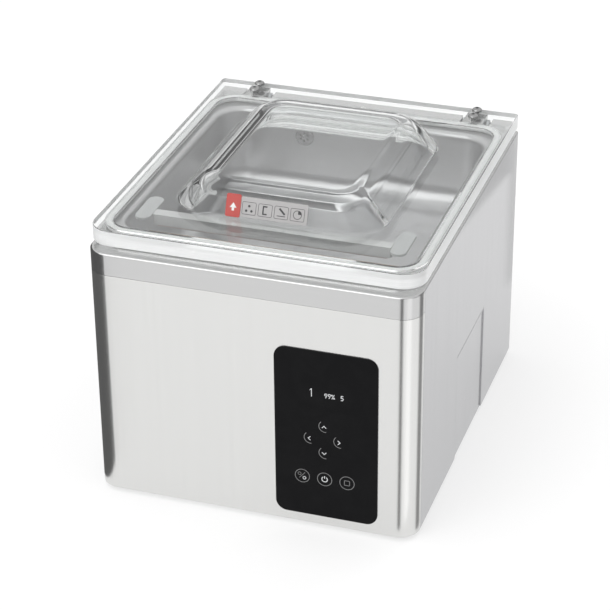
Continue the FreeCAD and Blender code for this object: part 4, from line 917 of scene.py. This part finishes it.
cards = {
    "leftFlag": dict(low=(-0.212, -0.300, 0.0), high=(-0.212, -0.196, 0.34), grey=0.12,
                     feather=0.06),
    "frontFlag": dict(low=(0.178, -0.26, 0.0), high=(0.194, -0.26, 0.34), grey=0.2, feather=0.35),
    "brightFlag": dict(low=(0.196, -0.262, 0.0), high=(0.268, -0.262, 0.34), grey=1.3,
                       feather=0.3),
    "rightFlag": dict(low=(0.212, -0.218, 0.0), high=(0.212, -0.193, 0.34), grey=0.3,
                      feather=0.2),
    "topFlag": dict(low=(0.212, -0.12, 0.322), high=(0.212, 0.28, 0.345), grey=0.74,
                    feather=0.0, drop=0.064),
    "rearFlag": dict(low=(0.212, 0.241, 0.09), high=(0.212, 0.29, 0.345), grey=0.8, feather=0.15),
}


def makeCard(name, low, high, grey, feather, drop=0.0):
    # A flag that only glossy reflections see; it fades out at its ends, and its lower edge
    # may fall away by `drop`.
    low, high = Vector(low), Vector(high)
    across = Vector((high.x - low.x, high.y - low.y, 0))
    points = [low, low + across - Vector((0, 0, drop)), high, high - across]
    mesh = bpy.data.meshes.new(name)
    mesh.from_pydata([tuple(point) for point in points], [], [(0, 1, 2, 3)])
    material, tree, shader = newMaterial(name)
    glow = addNode(tree, "Emission", {"Color": evenGrey(grey), "Strength": 1.0})
    if feather:
        place = addNode(tree, "TexCoord").outputs["Generated"]
        split = addNode(tree, "SeparateXYZ", {0: place})
        along = split.outputs["Y" if abs(across.y) > abs(across.x) else "X"]
        cover = mathNode(tree, "MULTIPLY", ramp(tree, along, 0.0, feather),
                         ramp(tree, along, 1.0, 1.0 - feather))
        clear = addNode(tree, "BsdfTransparent")
        glow = addNode(tree, "MixShader", {0: cover, 1: clear.outputs[0], 2: glow.outputs[0]})
    tree.links.new(glow.outputs[0], tree.nodes["Material Output"].inputs["Surface"])
    mesh.materials.append(material)
    made = bpy.data.objects.new(name, mesh)
    scene.collection.objects.link(made)
    made.visible_camera = made.visible_diffuse = made.visible_transmission = False
    made.visible_shadow = False


def makeLamp(name, spot, aim, size, power):
    lamp = bpy.data.lights.new(name, "AREA")
    lamp.shape, lamp.size, lamp.energy = "DISK", size, power
    made = bpy.data.objects.new(name, lamp)
    made.location = spot
    made.rotation_mode = "QUATERNION"
    made.rotation_quaternion = (Vector(aim) - Vector(spot)).to_track_quat("-Z", "Y")
    made.visible_glossy = made.visible_transmission = False
    scene.collection.objects.link(made)


lamps = {"overheadLamp": dict(spot=(-0.6, -0.4, 2.4), aim=(0, 0, 0.2), size=1.6, power=12.0),
         "backLamp": dict(spot=(0.9, 1.6, 1.9), aim=(0, 0, 0.3), size=1.0, power=8.0)}

makeWorld(stageLook)
makeFloor(stageLook)
for name, card in cards.items():
    makeCard(name, **card)
for name, lamp in lamps.items():
    makeLamp(name, **lamp)
scene.view_settings.view_transform = "Standard"
print("stage and light set")


cameraShape = {"place": (0.7457, -2.2601, 1.4789), "yaw": -0.323, "pitch": 0.5049,
               "roll": -0.0097, "lens": 128.35}


def makeCamera(s):
    yaw, pitch, roll = s["yaw"], s["pitch"], s["roll"]
    look = Vector((math.sin(yaw) * math.cos(pitch), math.cos(yaw) * math.cos(pitch),
                   -math.sin(pitch)))
    right = Vector((math.cos(yaw), -math.sin(yaw), 0))
    up = right.cross(look)
    tiltRight = right * math.cos(roll) + up * math.sin(roll)
    tiltUp = up * math.cos(roll) - right * math.sin(roll)
    data = bpy.data.cameras.new("camera")
    data.lens, data.sensor_width = s["lens"], 36.0
    data.clip_end = 50.0
    made = bpy.data.objects.new("camera", data)
    made.matrix_world = Matrix.Translation(s["place"]) @ Matrix(
        (tiltRight, tiltUp, -look)).transposed().to_4x4()
    scene.collection.objects.link(made)
    scene.camera = made


makeCamera(cameraShape)
print("camera set")
